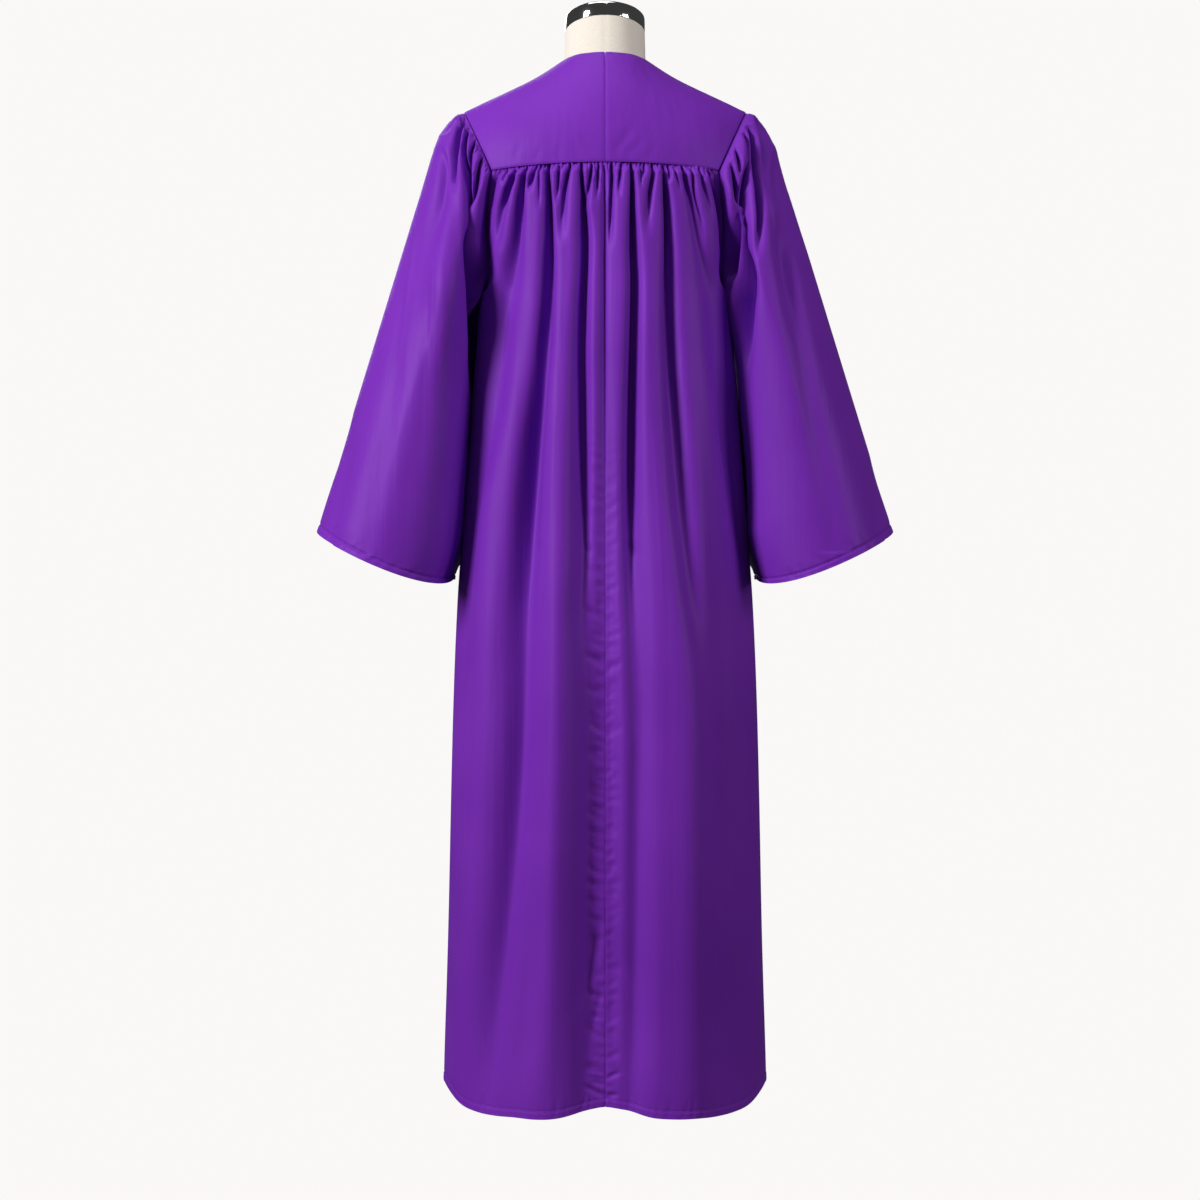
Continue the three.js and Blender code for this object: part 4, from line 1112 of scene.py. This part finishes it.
# %% [markdown]
# A sleeve is a tube. Its head is gathered into the armhole in fine tucks that start square to the seam and
# then drop straight down. The larger ones run on as folds, placed as paths in the same way as on the back.
# The front of each sleeve, which the picture hides, borrows the paths of the other sleeve's back.

# %% Folds of the sleeves
LEFT_SLEEVE_PATHS = [
    [(184.6, 1274.8, 0, 3), (191.1, 1269, 3, 3), (198.9, 1258.6, 2.5, 4), (202.8, 1248.2, 0, 5)],
    [(174.2, 1269.7, 3, 2.2), (181.3, 1262.5, 7, 3), (185.5, 1252.1, 9, 3.6), (188.5, 1240.4, 10, 4.2),
     (191.1, 1227.4, 10, 4.6), (192.8, 1210.5, 9, 4.8), (193.7, 1193.6, 6, 5), (194.3, 1175.4, 0, 5.5)],
    [(169, 1259.2, 3, 2.2), (174.2, 1252.1, 7, 3), (176.8, 1240.4, 9, 3.2), (178.1, 1228.7, 10, 3.6),
     (176.2, 1213.1, 11, 3.8), (173.6, 1197.5, 11, 4), (172.2, 1178, 11, 4), (171.6, 1158.5, 12, 4.2),
     (170.5, 1136.4, 12, 4.8), (169, 1113, 13, 5.6), (166, 1087, 14, 6.4), (161, 1054.5, 14, 7.5),
     (157, 1022, 14, 9), (155, 983, 13, 10), (155, 944, 12, 11), (156, 905, 10, 11), (157, 853, 8, 12),
     (160, 801, 4, 12), (165, 749, 0, 12)],
    [(161.2, 1243, 3, 2), (165.8, 1235.2, 6, 2.6), (168.6, 1224.8, 8, 3), (170.3, 1213.1, 8, 3.2),
     (171.6, 1200.1, 7, 3.4), (172.2, 1183.2, 0, 4)],
    [(152.1, 1223.5, 3, 2), (155, 1214.4, 7, 2.6), (157.3, 1205.3, 9, 3.2), (159.5, 1193.6, 10, 4),
     (161.8, 1178, 10, 4.6), (163.2, 1161.1, 9, 5), (163.8, 1141.6, 7, 5.4), (163.8, 1119.5, 4, 6),
     (163.8, 1097.4, 0, 6)],
    [(202.8, 1232.6, 0, 4), (204.1, 1213.1, 4, 4.5), (205.8, 1191, 5, 5.4), (209.3, 1165, 5, 7),
     (213.2, 1141.6, 4, 8), (218.4, 1113, 2, 9), (223.6, 1084.4, 0, 10)],
    [(196, 1160, 0, 10), (199, 1110, -4, 13), (203, 1050, -8, 17), (208, 970, -9, 20), (214, 880, -9, 22),
     (222, 800, -8, 22), (230, 730, -5, 22), (236, 655, 0, 22)],
    [(213.2, 1054.5, 0, 6), (219.7, 1011.6, 2, 7), (224.9, 970, 2.4, 7.5), (228.8, 920.6, 2, 8),
     (232.7, 872.5, 1.6, 10), (239.2, 820.5, 1, 12), (244.4, 775, 0, 12)],
    [(254.8, 1054.5, 0, 7), (262.6, 989.5, 3, 8), (267.8, 937.5, 5, 10), (275.6, 879, 5, 12),
     (284.7, 827, 5, 14), (293.8, 775, 4, 14), (301.6, 736, 3, 14), (306.8, 703.5, 3, 14)],
    [(319.8, 892, 0, 8), (330.2, 833.5, 5, 9), (340.6, 775, 6, 9), (349.7, 736, 6, 9), (352.3, 716.5, 6, 9)],
    [(235.3, 1149.4, 0, 1.6), (240.5, 1113, -0.9, 1.7), (245.7, 1080.5, -0.9, 1.7),
     (250.9, 1045.4, -0.9, 1.7), (258.7, 996, -0.8, 1.7), (265.2, 950.5, 0, 1.7)],
    [(212.6, 1089.6, 0, 1.5), (215.2, 1041.5, -0.8, 1.6), (219.7, 996, -0.8, 1.6), (223.6, 963.5, 0, 1.6)],
]
RIGHT_SLEEVE_PATHS = [
    [(209.3, 1270.3, 2, 3), (215.8, 1259.9, 4, 3.6), (221, 1248.2, 2, 4.4), (226.2, 1233.9, 0, 5)],
    [(202.8, 1271.6, 2, 2), (209.3, 1259.9, 5, 2.8), (213.2, 1246.9, 5, 3.4), (215.8, 1231.3, 5, 4),
     (217.5, 1211.8, 4, 5), (219.1, 1185.8, 2, 6), (221, 1157.2, 0, 7)],
    [(192.4, 1260.6, 3, 2.2), (197.6, 1252.1, 7, 2.8), (201.5, 1241.7, 10, 3.4), (204.1, 1230, 13, 4),
     (205.8, 1217, 15, 4.6), (207.1, 1201.4, 15, 4.6), (208.3, 1184.5, 14, 4.2), (209.3, 1165, 12, 3.8),
     (210, 1145.5, 8, 3.8), (209.3, 1119.5, 4, 5), (206.1, 1089.6, 0, 6)],
    [(176.2, 1231.3, 2, 1.8), (179.4, 1222.2, 6, 2.4), (182, 1211.8, 6, 2.6), (183.3, 1198.8, 0, 3)],
    [(170.3, 1211.8, 3, 3), (174.8, 1196.2, 8, 4.2), (178.1, 1180.6, 11, 4.6), (177.8, 1165, 12, 4.2),
     (175.5, 1149.4, 13, 4), (173.6, 1132.5, 13, 4), (171.6, 1113, 13, 4), (169.7, 1093.5, 12, 4),
     (167.7, 1076.6, 10, 4.4), (166.4, 1058.4, 0, 5)],
    [(187.8, 1252.1, 3, 2), (192.4, 1244.3, 5, 2.6), (195, 1233.9, 4, 3), (195, 1219.6, 4, 4),
     (192.4, 1202.7, 7, 5), (190.2, 1183.2, 9, 6), (189.2, 1158.5, 11, 6.6), (189.5, 1132.5, 13, 7),
     (189.2, 1105.2, 15, 8), (188.5, 1079.2, 16, 9), (186.6, 1053.2, 17, 10), (183.3, 1022, 18, 10),
     (182, 983, 18, 10), (184.6, 931, 16, 10), (187.8, 879, 14, 9), (191.1, 827, 13, 9), (194.3, 775, 8, 9),
     (197.6, 729.5, 0, 10)],
    [(232.7, 1149.4, 0, 8), (237.9, 1113, 4, 9), (243.1, 1080.5, 6, 9), (248.3, 1048, 7, 9),
     (254.8, 1015.5, 7, 10), (261.3, 976.5, 7, 11), (269.1, 931, 7, 12), (278.2, 879, 7, 13),
     (288.6, 827, 7, 14), (297.7, 775, 6, 14), (304.2, 729.5, 5, 14), (306.8, 707.4, 5, 14)],
    [(224.9, 1227.4, 0, 6), (232.7, 1188.4, 4, 7), (240.5, 1154.6, 4, 7), (248.3, 1123.4, 2, 8),
     (254.8, 1092.2, 0, 9)],
    [(349.7, 833.5, 0, 9), (356.2, 788, 5, 9), (362.7, 749, 6, 9), (366.6, 723, 6, 9)],
    [(219.7, 1178, 0, 1.6), (227.5, 1145.5, -0.8, 1.6), (232.7, 1119.5, -0.9, 1.6),
     (237.9, 1093.5, -0.9, 1.6), (243.1, 1061, -0.8, 1.6), (247, 1028.5, 0, 1.6)],
]
TUCK_PITCH = (2.6, 5.2)


def head_tucks(away, seed):
    """Fine tucks along the yoke's armhole edge, as paths that start square to the seam and turn down."""
    rng = np.random.default_rng(seed)
    share = np.linspace(0, 1, 200)
    x, z = seen_from_behind(yoke_point(*yoke_armhole(share, away)), False)
    along = travelled(np.stack([x, z], -1), 0)
    paths = []
    place = 2.0
    while place < along[-1] - 2:
        px = np.interp(place, along, x)
        pz = np.interp(place, along, z)
        length = rng.uniform(5, 17)
        depth = rng.uniform(1.0, 2.3)
        out = 0.6 * length
        paths.append([
            (px + 0.5, pz + 0.4, depth, 1.3),
            (px + 0.65 * out, pz - 0.3 * length, depth, 1.5),
            (px + 0.95 * out, pz - 0.65 * length, 0.6 * depth, 1.8),
            (px + out, pz - 1.2 * length, 0, 2.2),
        ])
        place += rng.uniform(*TUCK_PITCH)
    return paths


print("fold paths of the sleeves:", len(LEFT_SLEEVE_PATHS) + len(RIGHT_SLEEVE_PATHS))

# %% [markdown]
# Each sleeve is one closed grid round the arm, with its first and last columns inside the armpit. The head
# bulges a little below its tucks, and the cuff is turned up and stitched like the hem, with larger puckers.

# %% Sleeves
SLEEVE_COLUMNS = 200
SLEEVE_ROWS = [(0, 0.14, 56), (0.14, 0.94, 84), (0.94, 1, 24)]
FINE_AROUND = 1200
SLEEVE_DEPTH = 1.4
HEAD_BULGE = 1.5
HEAD_SHARE = 0.2
CUFF_CALM = dict(slant=0.9, low=740, high=900, least=0.3)
CUFF_STRENGTH = 2.2
CUFF_PUCKER = 4


def make_sleeve(name, back_paths, front_paths, mirrored, seed):
    """One sleeve, from the armhole to the cuff; its front half has paths of its own."""
    down = np.concatenate([*(np.linspace(low, high, rows)[:-1] for low, high, rows in SLEEVE_ROWS), [1]])
    down, around = np.meshgrid(down, np.linspace(-0.5, 0.5, FINE_AROUND), indexing="ij")
    base = sleeve_point(around, down)
    normal = sleeve_normal(around, down)
    arc = travelled(base, 1)
    below = down * SLEEVE_LENGTH
    above = (1 - down) * SLEEVE_LENGTH
    behind = smooth(np.sin(2 * math.pi * around), -0.06, 0.06)
    x, z = seen_from_behind(base, mirrored)

    def both(back, front):
        return path_height(back, x, z) * behind + path_height(front, x, z) * (1 - behind)

    height = both(back_paths, front_paths)
    calm = smooth(z - CUFF_CALM["slant"] * x, CUFF_CALM["low"], CUFF_CALM["high"])
    calm = CUFF_CALM["least"] + (1 - CUFF_CALM["least"]) * calm
    height *= SLEEVE_DEPTH * smooth(below, 0, 6) * calm
    height += both(head_tucks(1, seed), head_tucks(-1, seed + 1)) * smooth(below, 0, 1.5)
    head = 1 - smooth(np.abs(around), HEAD_SHARE, HEAD_SHARE + 0.05)
    height += HEAD_BULGE * smooth(below, 0, 12) * (1 - smooth(below, 30, 120)) * head
    height -= HEAD_BULGE * bell(below / 2.2)
    height += hem_height(arc, above, seed, CUFF_STRENGTH, CUFF_PUCKER)
    base, normal, height, pick = crowd_columns(base, normal, height, SLEEVE_COLUMNS + 1)
    trace_stitches(name, base, normal, height, mirrored, pick(above), HEM_BAND)
    grids = [grid[:, :-1] for grid in (base, normal, height, pick(hem_thickness(above)))]
    first = grids[0][0]
    inside = np.column_stack([np.full(SLEEVE_COLUMNS, 60.0), np.zeros(SLEEVE_COLUMNS), first[:, 2] - 60])
    allowance = first + unit(inside - first) * ALLOWANCE
    return cloth_wall(name, *with_allowance(*grids, allowance), closed=True, mirrored=mirrored)


sleeve_left = make_sleeve("sleeve_left_cloth", LEFT_SLEEVE_PATHS, RIGHT_SLEEVE_PATHS, False, 31)
sleeve_right = make_sleeve("sleeve_right_cloth", RIGHT_SLEEVE_PATHS, LEFT_SLEEVE_PATHS, True, 32)
tell(sleeve_left, sleeve_right)

# %% [markdown]
# The placket is a fly strip that covers the closing at the centre front. It lies just above the two fronts,
# follows the V of the neckline at its top, and has a line of stitches near each long edge.

# %% Placket
PLACKET_HALF_WIDTH = 17
PLACKET_LIFT = 2.7
PLACKET_CLOTH = 1.1
PLACKET_COLUMNS = 27
PLACKET_ROWS = dict(yoke=34, panel=150)
PLACKET_STITCH = 4.0
PLACKET_PUCKERS = dict(top=1180.0, pitch=(16, 34), width=3.0)


def placket_spot(x, z):
    """Points and normals of the front at any height, on the yoke above its seam and on the panel below."""
    half = column(BODY, "z", "half", np.minimum(z, YOKE_SEAM_Z))
    low_point, low_normal = body_point(np.minimum(z, YOKE_SEAM_Z), np.arcsin(x / half), "front")
    high = np.maximum(z, YOKE_SEAM_Z)
    turn = -turn_at_height(x, high)
    high_point = yoke_point(x, turn)
    high_normal = yoke_normal(x, turn)
    above = (z > YOKE_SEAM_Z)[..., None]
    return np.where(above, high_point, low_point), np.where(above, high_normal, low_normal)


def make_placket():
    x = np.linspace(-PLACKET_HALF_WIDTH, PLACKET_HALF_WIDTH, PLACKET_COLUMNS)
    upper = np.linspace(0, 0.11, PLACKET_ROWS["yoke"])[:-1]
    levels = np.concatenate([upper, np.linspace(0.11, 1, PLACKET_ROWS["panel"])])
    top = NECK_Z - V_DEPTH * (1 - np.abs(x) / NECK_HALF_WIDTH) - 1
    share, wide = np.meshgrid(levels, x, indexing="ij")
    z = top[None, :] * (1 - share) + (HEM_Z + 2) * share
    base, normal = placket_spot(np.abs(wide), z)
    for grid in (base, normal):
        grid[..., 0] *= np.where(wide < 0, -1, 1)
    from_side = PLACKET_HALF_WIDTH - np.abs(wide)
    height = PLACKET_LIFT - 0.35 * bell((from_side - PLACKET_STITCH) / 0.9)
    height -= 0.4 * bell(from_side / 0.9)
    rng = np.random.default_rng(7)
    place = PLACKET_PUCKERS["top"]
    while place > 30:
        place -= rng.uniform(*PLACKET_PUCKERS["pitch"])
        sign = rng.choice([-1, 1])
        start = (sign * 2, place + rng.uniform(-3, 3))
        end = (sign * PLACKET_HALF_WIDTH, place + rng.uniform(-5, 5))
        height += crease(wide, z, start, end, PLACKET_PUCKERS["width"], rng.uniform(0.1, 0.35))
    across = [np.swapaxes(grid, 0, 1) for grid in (base, normal, height)]
    for sign in (-1, 1):
        reach = PLACKET_HALF_WIDTH - PLACKET_STITCH
        trace_stitches("placket_cloth", *across, False, wide.T, sign * reach)
    return cloth_wall("placket_cloth", base, normal, height, PLACKET_CLOTH)


placket = make_placket()
tell(placket)

# %% [markdown]
# The hems, the cuffs, the neckline and both edges of the placket are topstitched. Geometry Nodes walk along
# each traced line, lay one short thread at every step and turn it along the line. The result becomes a plain
# mesh, one for each piece of cloth that it is sewn to.

# %% Stitches
STITCH = {"Pitch": 3.2 * MM, "Length": 2.4 * MM, "Thickness": 0.5 * MM}


def thread_finish():
    material, tree, shader = new_material("robe_thread")
    twist = cloud(tree, tree.nodes.new("ShaderNodeTexCoord").outputs["Object"], 900.0, 2.0)
    colour = ramp(tree, twist, 0.3, 0.7, (0.15, 0.02, 0.38, 1), (0.24, 0.04, 0.54, 1))
    tree.links.new(colour, shader.inputs["Base Color"])
    tuned(shader, Roughness=0.42)
    bump(tree, twist, shader.inputs["Normal"], 0.4, 0.0001)
    return material


def stitch_nodes():
    tree = bpy.data.node_groups.new("stitches_along_a_line", "GeometryNodeTree")
    tree.interface.new_socket("Line", in_out="INPUT", socket_type="NodeSocketGeometry")
    for name in STITCH:
        tree.interface.new_socket(name, in_out="INPUT", socket_type="NodeSocketFloat")
    tree.interface.new_socket("Thread", in_out="INPUT", socket_type="NodeSocketMaterial")
    tree.interface.new_socket("Stitches", in_out="OUTPUT", socket_type="NodeSocketGeometry")
    enter = tree.nodes.new("NodeGroupInput")
    leave = tree.nodes.new("NodeGroupOutput")
    curve = tree.nodes.new("GeometryNodeMeshToCurve")
    steps = tree.nodes.new("GeometryNodeResampleCurve")
    steps.mode = "LENGTH"
    tangent = tree.nodes.new("GeometryNodeInputTangent")
    turn = tree.nodes.new("FunctionNodeAlignRotationToVector")
    turn.axis = "X"
    thread = node(tree, "GeometryNodeMeshUVSphere", Segments=6, Rings=4, Radius=0.5)
    size = tree.nodes.new("ShaderNodeCombineXYZ")
    laid = tree.nodes.new("GeometryNodeInstanceOnPoints")
    real = tree.nodes.new("GeometryNodeRealizeInstances")
    finish = tree.nodes.new("GeometryNodeSetMaterial")
    for start, end in (
        (enter.outputs["Line"], curve.inputs["Mesh"]),
        (curve.outputs["Curve"], steps.inputs["Curve"]),
        (enter.outputs["Pitch"], steps.inputs["Length"]),
        (tangent.outputs["Tangent"], turn.inputs["Vector"]),
        (enter.outputs["Length"], size.inputs["X"]),
        (enter.outputs["Thickness"], size.inputs["Y"]),
        (enter.outputs["Thickness"], size.inputs["Z"]),
        (steps.outputs["Curve"], laid.inputs["Points"]),
        (thread.outputs["Mesh"], laid.inputs["Instance"]),
        (turn.outputs["Rotation"], laid.inputs["Rotation"]),
        (size.outputs["Vector"], laid.inputs["Scale"]),
        (laid.outputs["Instances"], real.inputs["Geometry"]),
        (real.outputs["Geometry"], finish.inputs["Geometry"]),
        (enter.outputs["Thread"], finish.inputs["Material"]),
        (finish.outputs["Geometry"], leave.inputs["Stitches"]),
    ):
        tree.links.new(start, end)
    return tree


THREAD = thread_finish()
STITCH_TREE = stitch_nodes()
STITCH_SOCKETS = {
    socket.name: socket.identifier
    for socket in STITCH_TREE.interface.items_tree
    if socket.item_type == "SOCKET" and socket.in_out == "INPUT"
}


def make_stitches(name, lines):
    points = np.concatenate(lines) * MM
    edges = []
    for line in lines:
        first = edges[-1][1] + 1 if edges else 0
        edges += [(k, k + 1) for k in range(first, first + len(line) - 1)]
    mesh = bpy.data.meshes.new(name + "_line")
    mesh.from_pydata(points.tolist(), edges, [])
    guide = placed(name + "_line", mesh)
    modifier = guide.modifiers.new("stitches", "NODES")
    modifier.node_group = STITCH_TREE
    for socket, value in STITCH.items():
        modifier[STITCH_SOCKETS[socket]] = value
    modifier[STITCH_SOCKETS["Thread"]] = THREAD
    ready = guide.evaluated_get(bpy.context.evaluated_depsgraph_get())
    made = bpy.data.meshes.new_from_object(ready)
    bpy.data.objects.remove(guide)
    made.shade_smooth()
    return placed(name, made)


STITCHES = {
    name: make_stitches(name.replace("_cloth", "_stitches"), lines) for name, lines in STITCH_LINES.items()
}
print("stitch faces:", sum(len(piece.data.polygons) for piece in STITCHES.values()))

# %% [markdown]
# The dress form is covered in natural linen with a seam down the middle of its neck. Its neck ends in a
# bright ring with a low cap, leaning a little forwards. The pole and the flat cross foot are hidden by the
# robe from every side except below.

# %% Finishes of the form
def linen():
    material, tree, shader = new_material("form_linen")
    place = tree.nodes.new("ShaderNodeTexCoord").outputs["Object"]
    slub = cloud(tree, stretched(tree, place, (1, 1, 6)), 420.0, 4.0, Roughness=0.65)
    colour = ramp(tree, slub, 0.32, 0.68, (0.78, 0.7, 0.59, 1), (0.95, 0.89, 0.8, 1))
    tree.links.new(colour, shader.inputs["Base Color"])
    tuned(shader, Roughness=0.88, Specular_IOR_Level=0.2)
    bump(tree, slub, shader.inputs["Normal"], 0.5, 0.0004)
    return material


def metal(name, colour, roughness, grain):
    """A bare metal whose roughness varies with a fine grain."""
    material, tree, shader = new_material(name)
    tuned(shader, Base_Color=(*colour, 1), Metallic=1.0, Roughness=roughness)
    spread = node(tree, "ShaderNodeMapRange", To_Min=roughness * 0.85, To_Max=roughness * 1.2)
    marks = cloud(tree, tree.nodes.new("ShaderNodeTexCoord").outputs["Object"], grain, 2.0)
    tree.links.new(marks, spread.inputs["Value"])
    tree.links.new(spread.outputs[0], shader.inputs["Roughness"])
    return material


LINEN = linen()
CHROME = metal("neck_chrome", (0.82, 0.82, 0.83), 0.07, 30.0)
STEEL = metal("stand_steel", (0.55, 0.55, 0.56), 0.3, 220.0)
IRON = metal("stand_iron", (0.05, 0.05, 0.055), 0.55, 160.0)
print("finishes of the form:", [finish.name for finish in (LINEN, CHROME, STEEL, IRON)])

# %% [markdown]
# The torso fills the robe's own shape a few millimetres inside it, and narrows to a waist below the arms.
# Rings of points are joined from the bottom to the top of the neck, and each end is closed by a fan.

# %% Form and stand
FORM_INSET = 9
FORM_SHOULDER_X = 168
FORM_BOTTOM_Z = 700
NECK_TOP = dict(z=1384.4, y=-11, radius=52, tilt=math.radians(10))
NECK_FOOT_Z = 1330
CAP_HEIGHT = 21
POLE_RADIUS = 12
FOOT_HEIGHT = 12
FOOT_REACH = 122
FOOT_ARM_RADIUS = 15
FORM_SIDES = 96
FORM_TOP_Z = 1312
FORM_ROWS = [(FORM_BOTTOM_Z, YOKE_SEAM_Z, 12), (YOKE_SEAM_Z, FORM_TOP_Z + 1, 4)]
NECK_ROWS = 24
CAP_SIDES = 128
POLE_SIDES = 48
FOOT_PROFILE = [(1.2, 0), (0.3, 0.4), (0, 1.2), (0, 10.6), (0.4, 11.6), (1.4, FOOT_HEIGHT)]
FORM_WAIST = table(
    "z half back front",
    (700, 150, 96, 98),
    (800, 152, 98, 100),
    (900, 128, 86, 88),
    (960, 120, 83, 84),
    (1035, 136, 85, 88),
    (1110, 146, 87, 82),
    (1192, 156, 92, 78))


def form_reach(z):
    """Half width of the form's shoulders at a height, found on the sloping ridge."""
    x = np.linspace(NECK_HALF_WIDTH - 3, FORM_SHOULDER_X, 400)
    under = column(RIDGE, "x", "z", x) - FORM_INSET > z
    reach = x[under].max() if under.any() else x[0]
    widen = float(smooth(z, YOKE_SEAM_Z, 1250))
    return min(reach, FORM_WAIST[-1]["half"] * (1 - widen) + FORM_SHOULDER_X * widen)


def form_ring(z):
    angle = np.linspace(0, 2 * math.pi, FORM_SIDES, endpoint=False)
    back = np.cos(angle) >= 0
    if z <= YOKE_SEAM_Z:
        depth = np.where(back, column(FORM_WAIST, "z", "back", z), column(FORM_WAIST, "z", "front", z))
        x = column(FORM_WAIST, "z", "half", z) * np.sin(angle)
        return np.stack([x, depth * np.cos(angle), np.full_like(x, z)], -1)
    x = form_reach(z) * np.sin(angle)
    ridge = column(RIDGE, "x", "z", np.abs(x)) - FORM_INSET
    full = np.where(back, BODY[-1]["back"], BODY[-1]["front"]) - FORM_INSET
    full = full * np.sqrt(1 - (x / BODY[-1]["half"]) ** 2)
    rise = np.clip((z - YOKE_SEAM_Z) / (ridge - YOKE_SEAM_Z), 0, 1)
    y = np.minimum(full * np.sqrt(1 - rise**2), full * np.abs(np.cos(angle)))
    return np.stack([x, np.where(back, y, -y), np.full_like(x, z)], -1)


def neck_ring(share):
    """A ring of the leaning neck, with the groove of the linen's seam behind."""
    angle = np.linspace(0, 2 * math.pi, FORM_SIDES, endpoint=False)
    radius = (NECK_HALF_WIDTH - 4) * (1 - share) + NECK_TOP["radius"] * share
    y = radius * np.cos(angle)
    z = NECK_FOOT_Z * (1 - share) + (NECK_TOP["z"] - SEAM_GAP) * share
    seam = 0.7 * bell(radius * np.sin(angle) / 1.6) * (np.cos(angle) > 0)
    lean = y * math.tan(NECK_TOP["tilt"]) * share
    return np.stack([(radius - seam) * np.sin(angle), NECK_TOP["y"] * share + y - seam, z + lean], -1)


def stacked(name, rings, material):
    """A closed solid from rings of points; its two ends are closed by fans."""
    sides = len(rings[0])
    points = np.concatenate(rings)
    made = bmesh.new()
    corners = [made.verts.new(p * MM) for p in points]
    for r in range(len(rings) - 1):
        for k in range(sides):
            a = r * sides + k
            b = r * sides + (k + 1) % sides
            made.faces.new([corners[a], corners[b], corners[b + sides], corners[a + sides]])
    for first, turned in ((0, True), (len(points) - sides, False)):
        middle = made.verts.new(points[first:first + sides].mean(axis=0) * MM)
        for k in range(sides):
            pair = [corners[first + k], corners[first + (k + 1) % sides]]
            made.faces.new([middle, *(pair[::-1] if turned else pair)])
    bmesh.ops.recalc_face_normals(made, faces=made.faces)
    mesh = bpy.data.meshes.new(name)
    made.to_mesh(mesh)
    made.free()
    mesh.shade_smooth()
    mesh.set_sharp_from_angle(angle=math.radians(40))
    mesh.materials.append(material)
    return placed(name, mesh)


def ring_of(radius, z, sides):
    angle = np.linspace(0, 2 * math.pi, sides, endpoint=False)
    return np.stack([radius * np.cos(angle), radius * np.sin(angle), np.full(sides, float(z))], -1)


def neck_cap():
    """Neck ring and cap: a bright band with rounded edges, a groove, and a low dome."""
    r = NECK_TOP["radius"]
    profile = [(r - 2.2, 0), (r - 1.2, 0.25), (r - 0.4, 0.9), (r, 2)]
    profile += [(r, 17.6), (r - 0.3, 19.2), (r - 1.3, 20.4), (r - 2.6, CAP_HEIGHT - 0.1)]
    profile += [(r - 4.2, CAP_HEIGHT - 0.4), (r - 5, CAP_HEIGHT - 0.6), (r - 6, CAP_HEIGHT)]
    profile += [(r * s, CAP_HEIGHT + 3 * (1 - s**2)) for s in (0.8, 0.7, 0.6, 0.5, 0.4, 0.3, 0.2, 0.1)]
    rings = []
    cos = math.cos(NECK_TOP["tilt"])
    sin = math.sin(NECK_TOP["tilt"])
    for radius, height in profile:
        ring = ring_of(radius, height, CAP_SIDES)
        y = ring[:, 1] * cos - ring[:, 2] * sin
        z = ring[:, 1] * sin + ring[:, 2] * cos
        rings.append(np.stack([ring[:, 0], y + NECK_TOP["y"], z + NECK_TOP["z"]], -1))
    return stacked("neck_cap_bright", rings, CHROME)


def stand_foot():
    """Flat cross of four round-ended arms with softened edges."""
    outline = []
    for arm in range(4):
        angle = math.pi / 4 + arm * math.pi / 2
        centre = np.array([math.cos(angle), math.sin(angle)]) * FOOT_REACH
        for step in np.linspace(-math.pi / 2, math.pi / 2, 17):
            way = np.array([math.cos(angle + step), math.sin(angle + step)])
            outline.append(centre + FOOT_ARM_RADIUS * way)
        inner = angle + math.pi / 4
        outline.append(FOOT_ARM_RADIUS * math.sqrt(2) * np.array([math.cos(inner), math.sin(inner)]))
    outline = np.array(outline)
    ahead = np.roll(outline, -1, axis=0) - np.roll(outline, 1, axis=0)
    outward = unit(np.stack([ahead[:, 1], -ahead[:, 0]], -1))
    rings = []
    for inset, z in FOOT_PROFILE:
        flat = outline - outward * inset
        rings.append(np.column_stack([flat, np.full(len(flat), float(z))]))
    return stacked("stand_foot_iron", rings, IRON)


rings = [form_ring(z) for low, high, pitch in FORM_ROWS for z in range(low, high, pitch)]
rings += [neck_ring(share) for share in np.linspace(0, 1, NECK_ROWS)]
torso = stacked("form_linen_torso", rings, LINEN)
cap = neck_cap()
pole_ends = (FOOT_HEIGHT + SEAM_GAP, FORM_BOTTOM_Z - SEAM_GAP)
pole = stacked("stand_pole_steel", [ring_of(POLE_RADIUS, z, POLE_SIDES) for z in pole_ends], STEEL)
foot = stand_foot()
print("faces of form and stand:", [len(o.data.polygons) for o in (torso, cap, pole, foot)])

# %% [markdown]
# Each finished piece stands for its imported solid, which is hidden, and rides on the one body. A table
# gives the flat cut of each cloth piece: width, length, area and how it is held.

# %% Hand over to the frame
CLOTH_PIECES = table(
    "solid piece flat area held",
    ("yoke_left", yoke_left, (0.2, 0.38), 0.056, "laid"),
    ("yoke_right", yoke_right, (0.2, 0.38), 0.056, "laid"),
    ("back_left", back_left, (0.34, 1.2), 0.35, "gathered"),
    ("back_right", back_right, (0.34, 1.2), 0.35, "gathered"),
    ("front_left", front_left, (0.34, 1.2), 0.3, "gathered"),
    ("front_right", front_right, (0.34, 1.2), 0.3, "gathered"),
    ("front_placket", placket, (0.034, 1.24), 0.042, "hung"),
    ("sleeve_left", sleeve_left, (0.78, 0.62), 0.32, "gathered"),
    ("sleeve_right", sleeve_right, (0.78, 0.62), 0.32, "gathered"))
for cut in CLOTH_PIECES:
    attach(cut["piece"], "root")
    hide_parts(cut["solid"])
    sewn = STITCHES[cut["piece"].name]
    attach(sewn, "root")
for piece, solid, slot in (
    (torso, "form_torso", "form_linen"),
    (cap, "form_neck_cap", "neck_chrome"),
    (pole, "stand_pole", "stand_steel"),
    (foot, "stand_base", "stand_iron"),
):
    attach(piece, "root")
    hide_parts(solid)
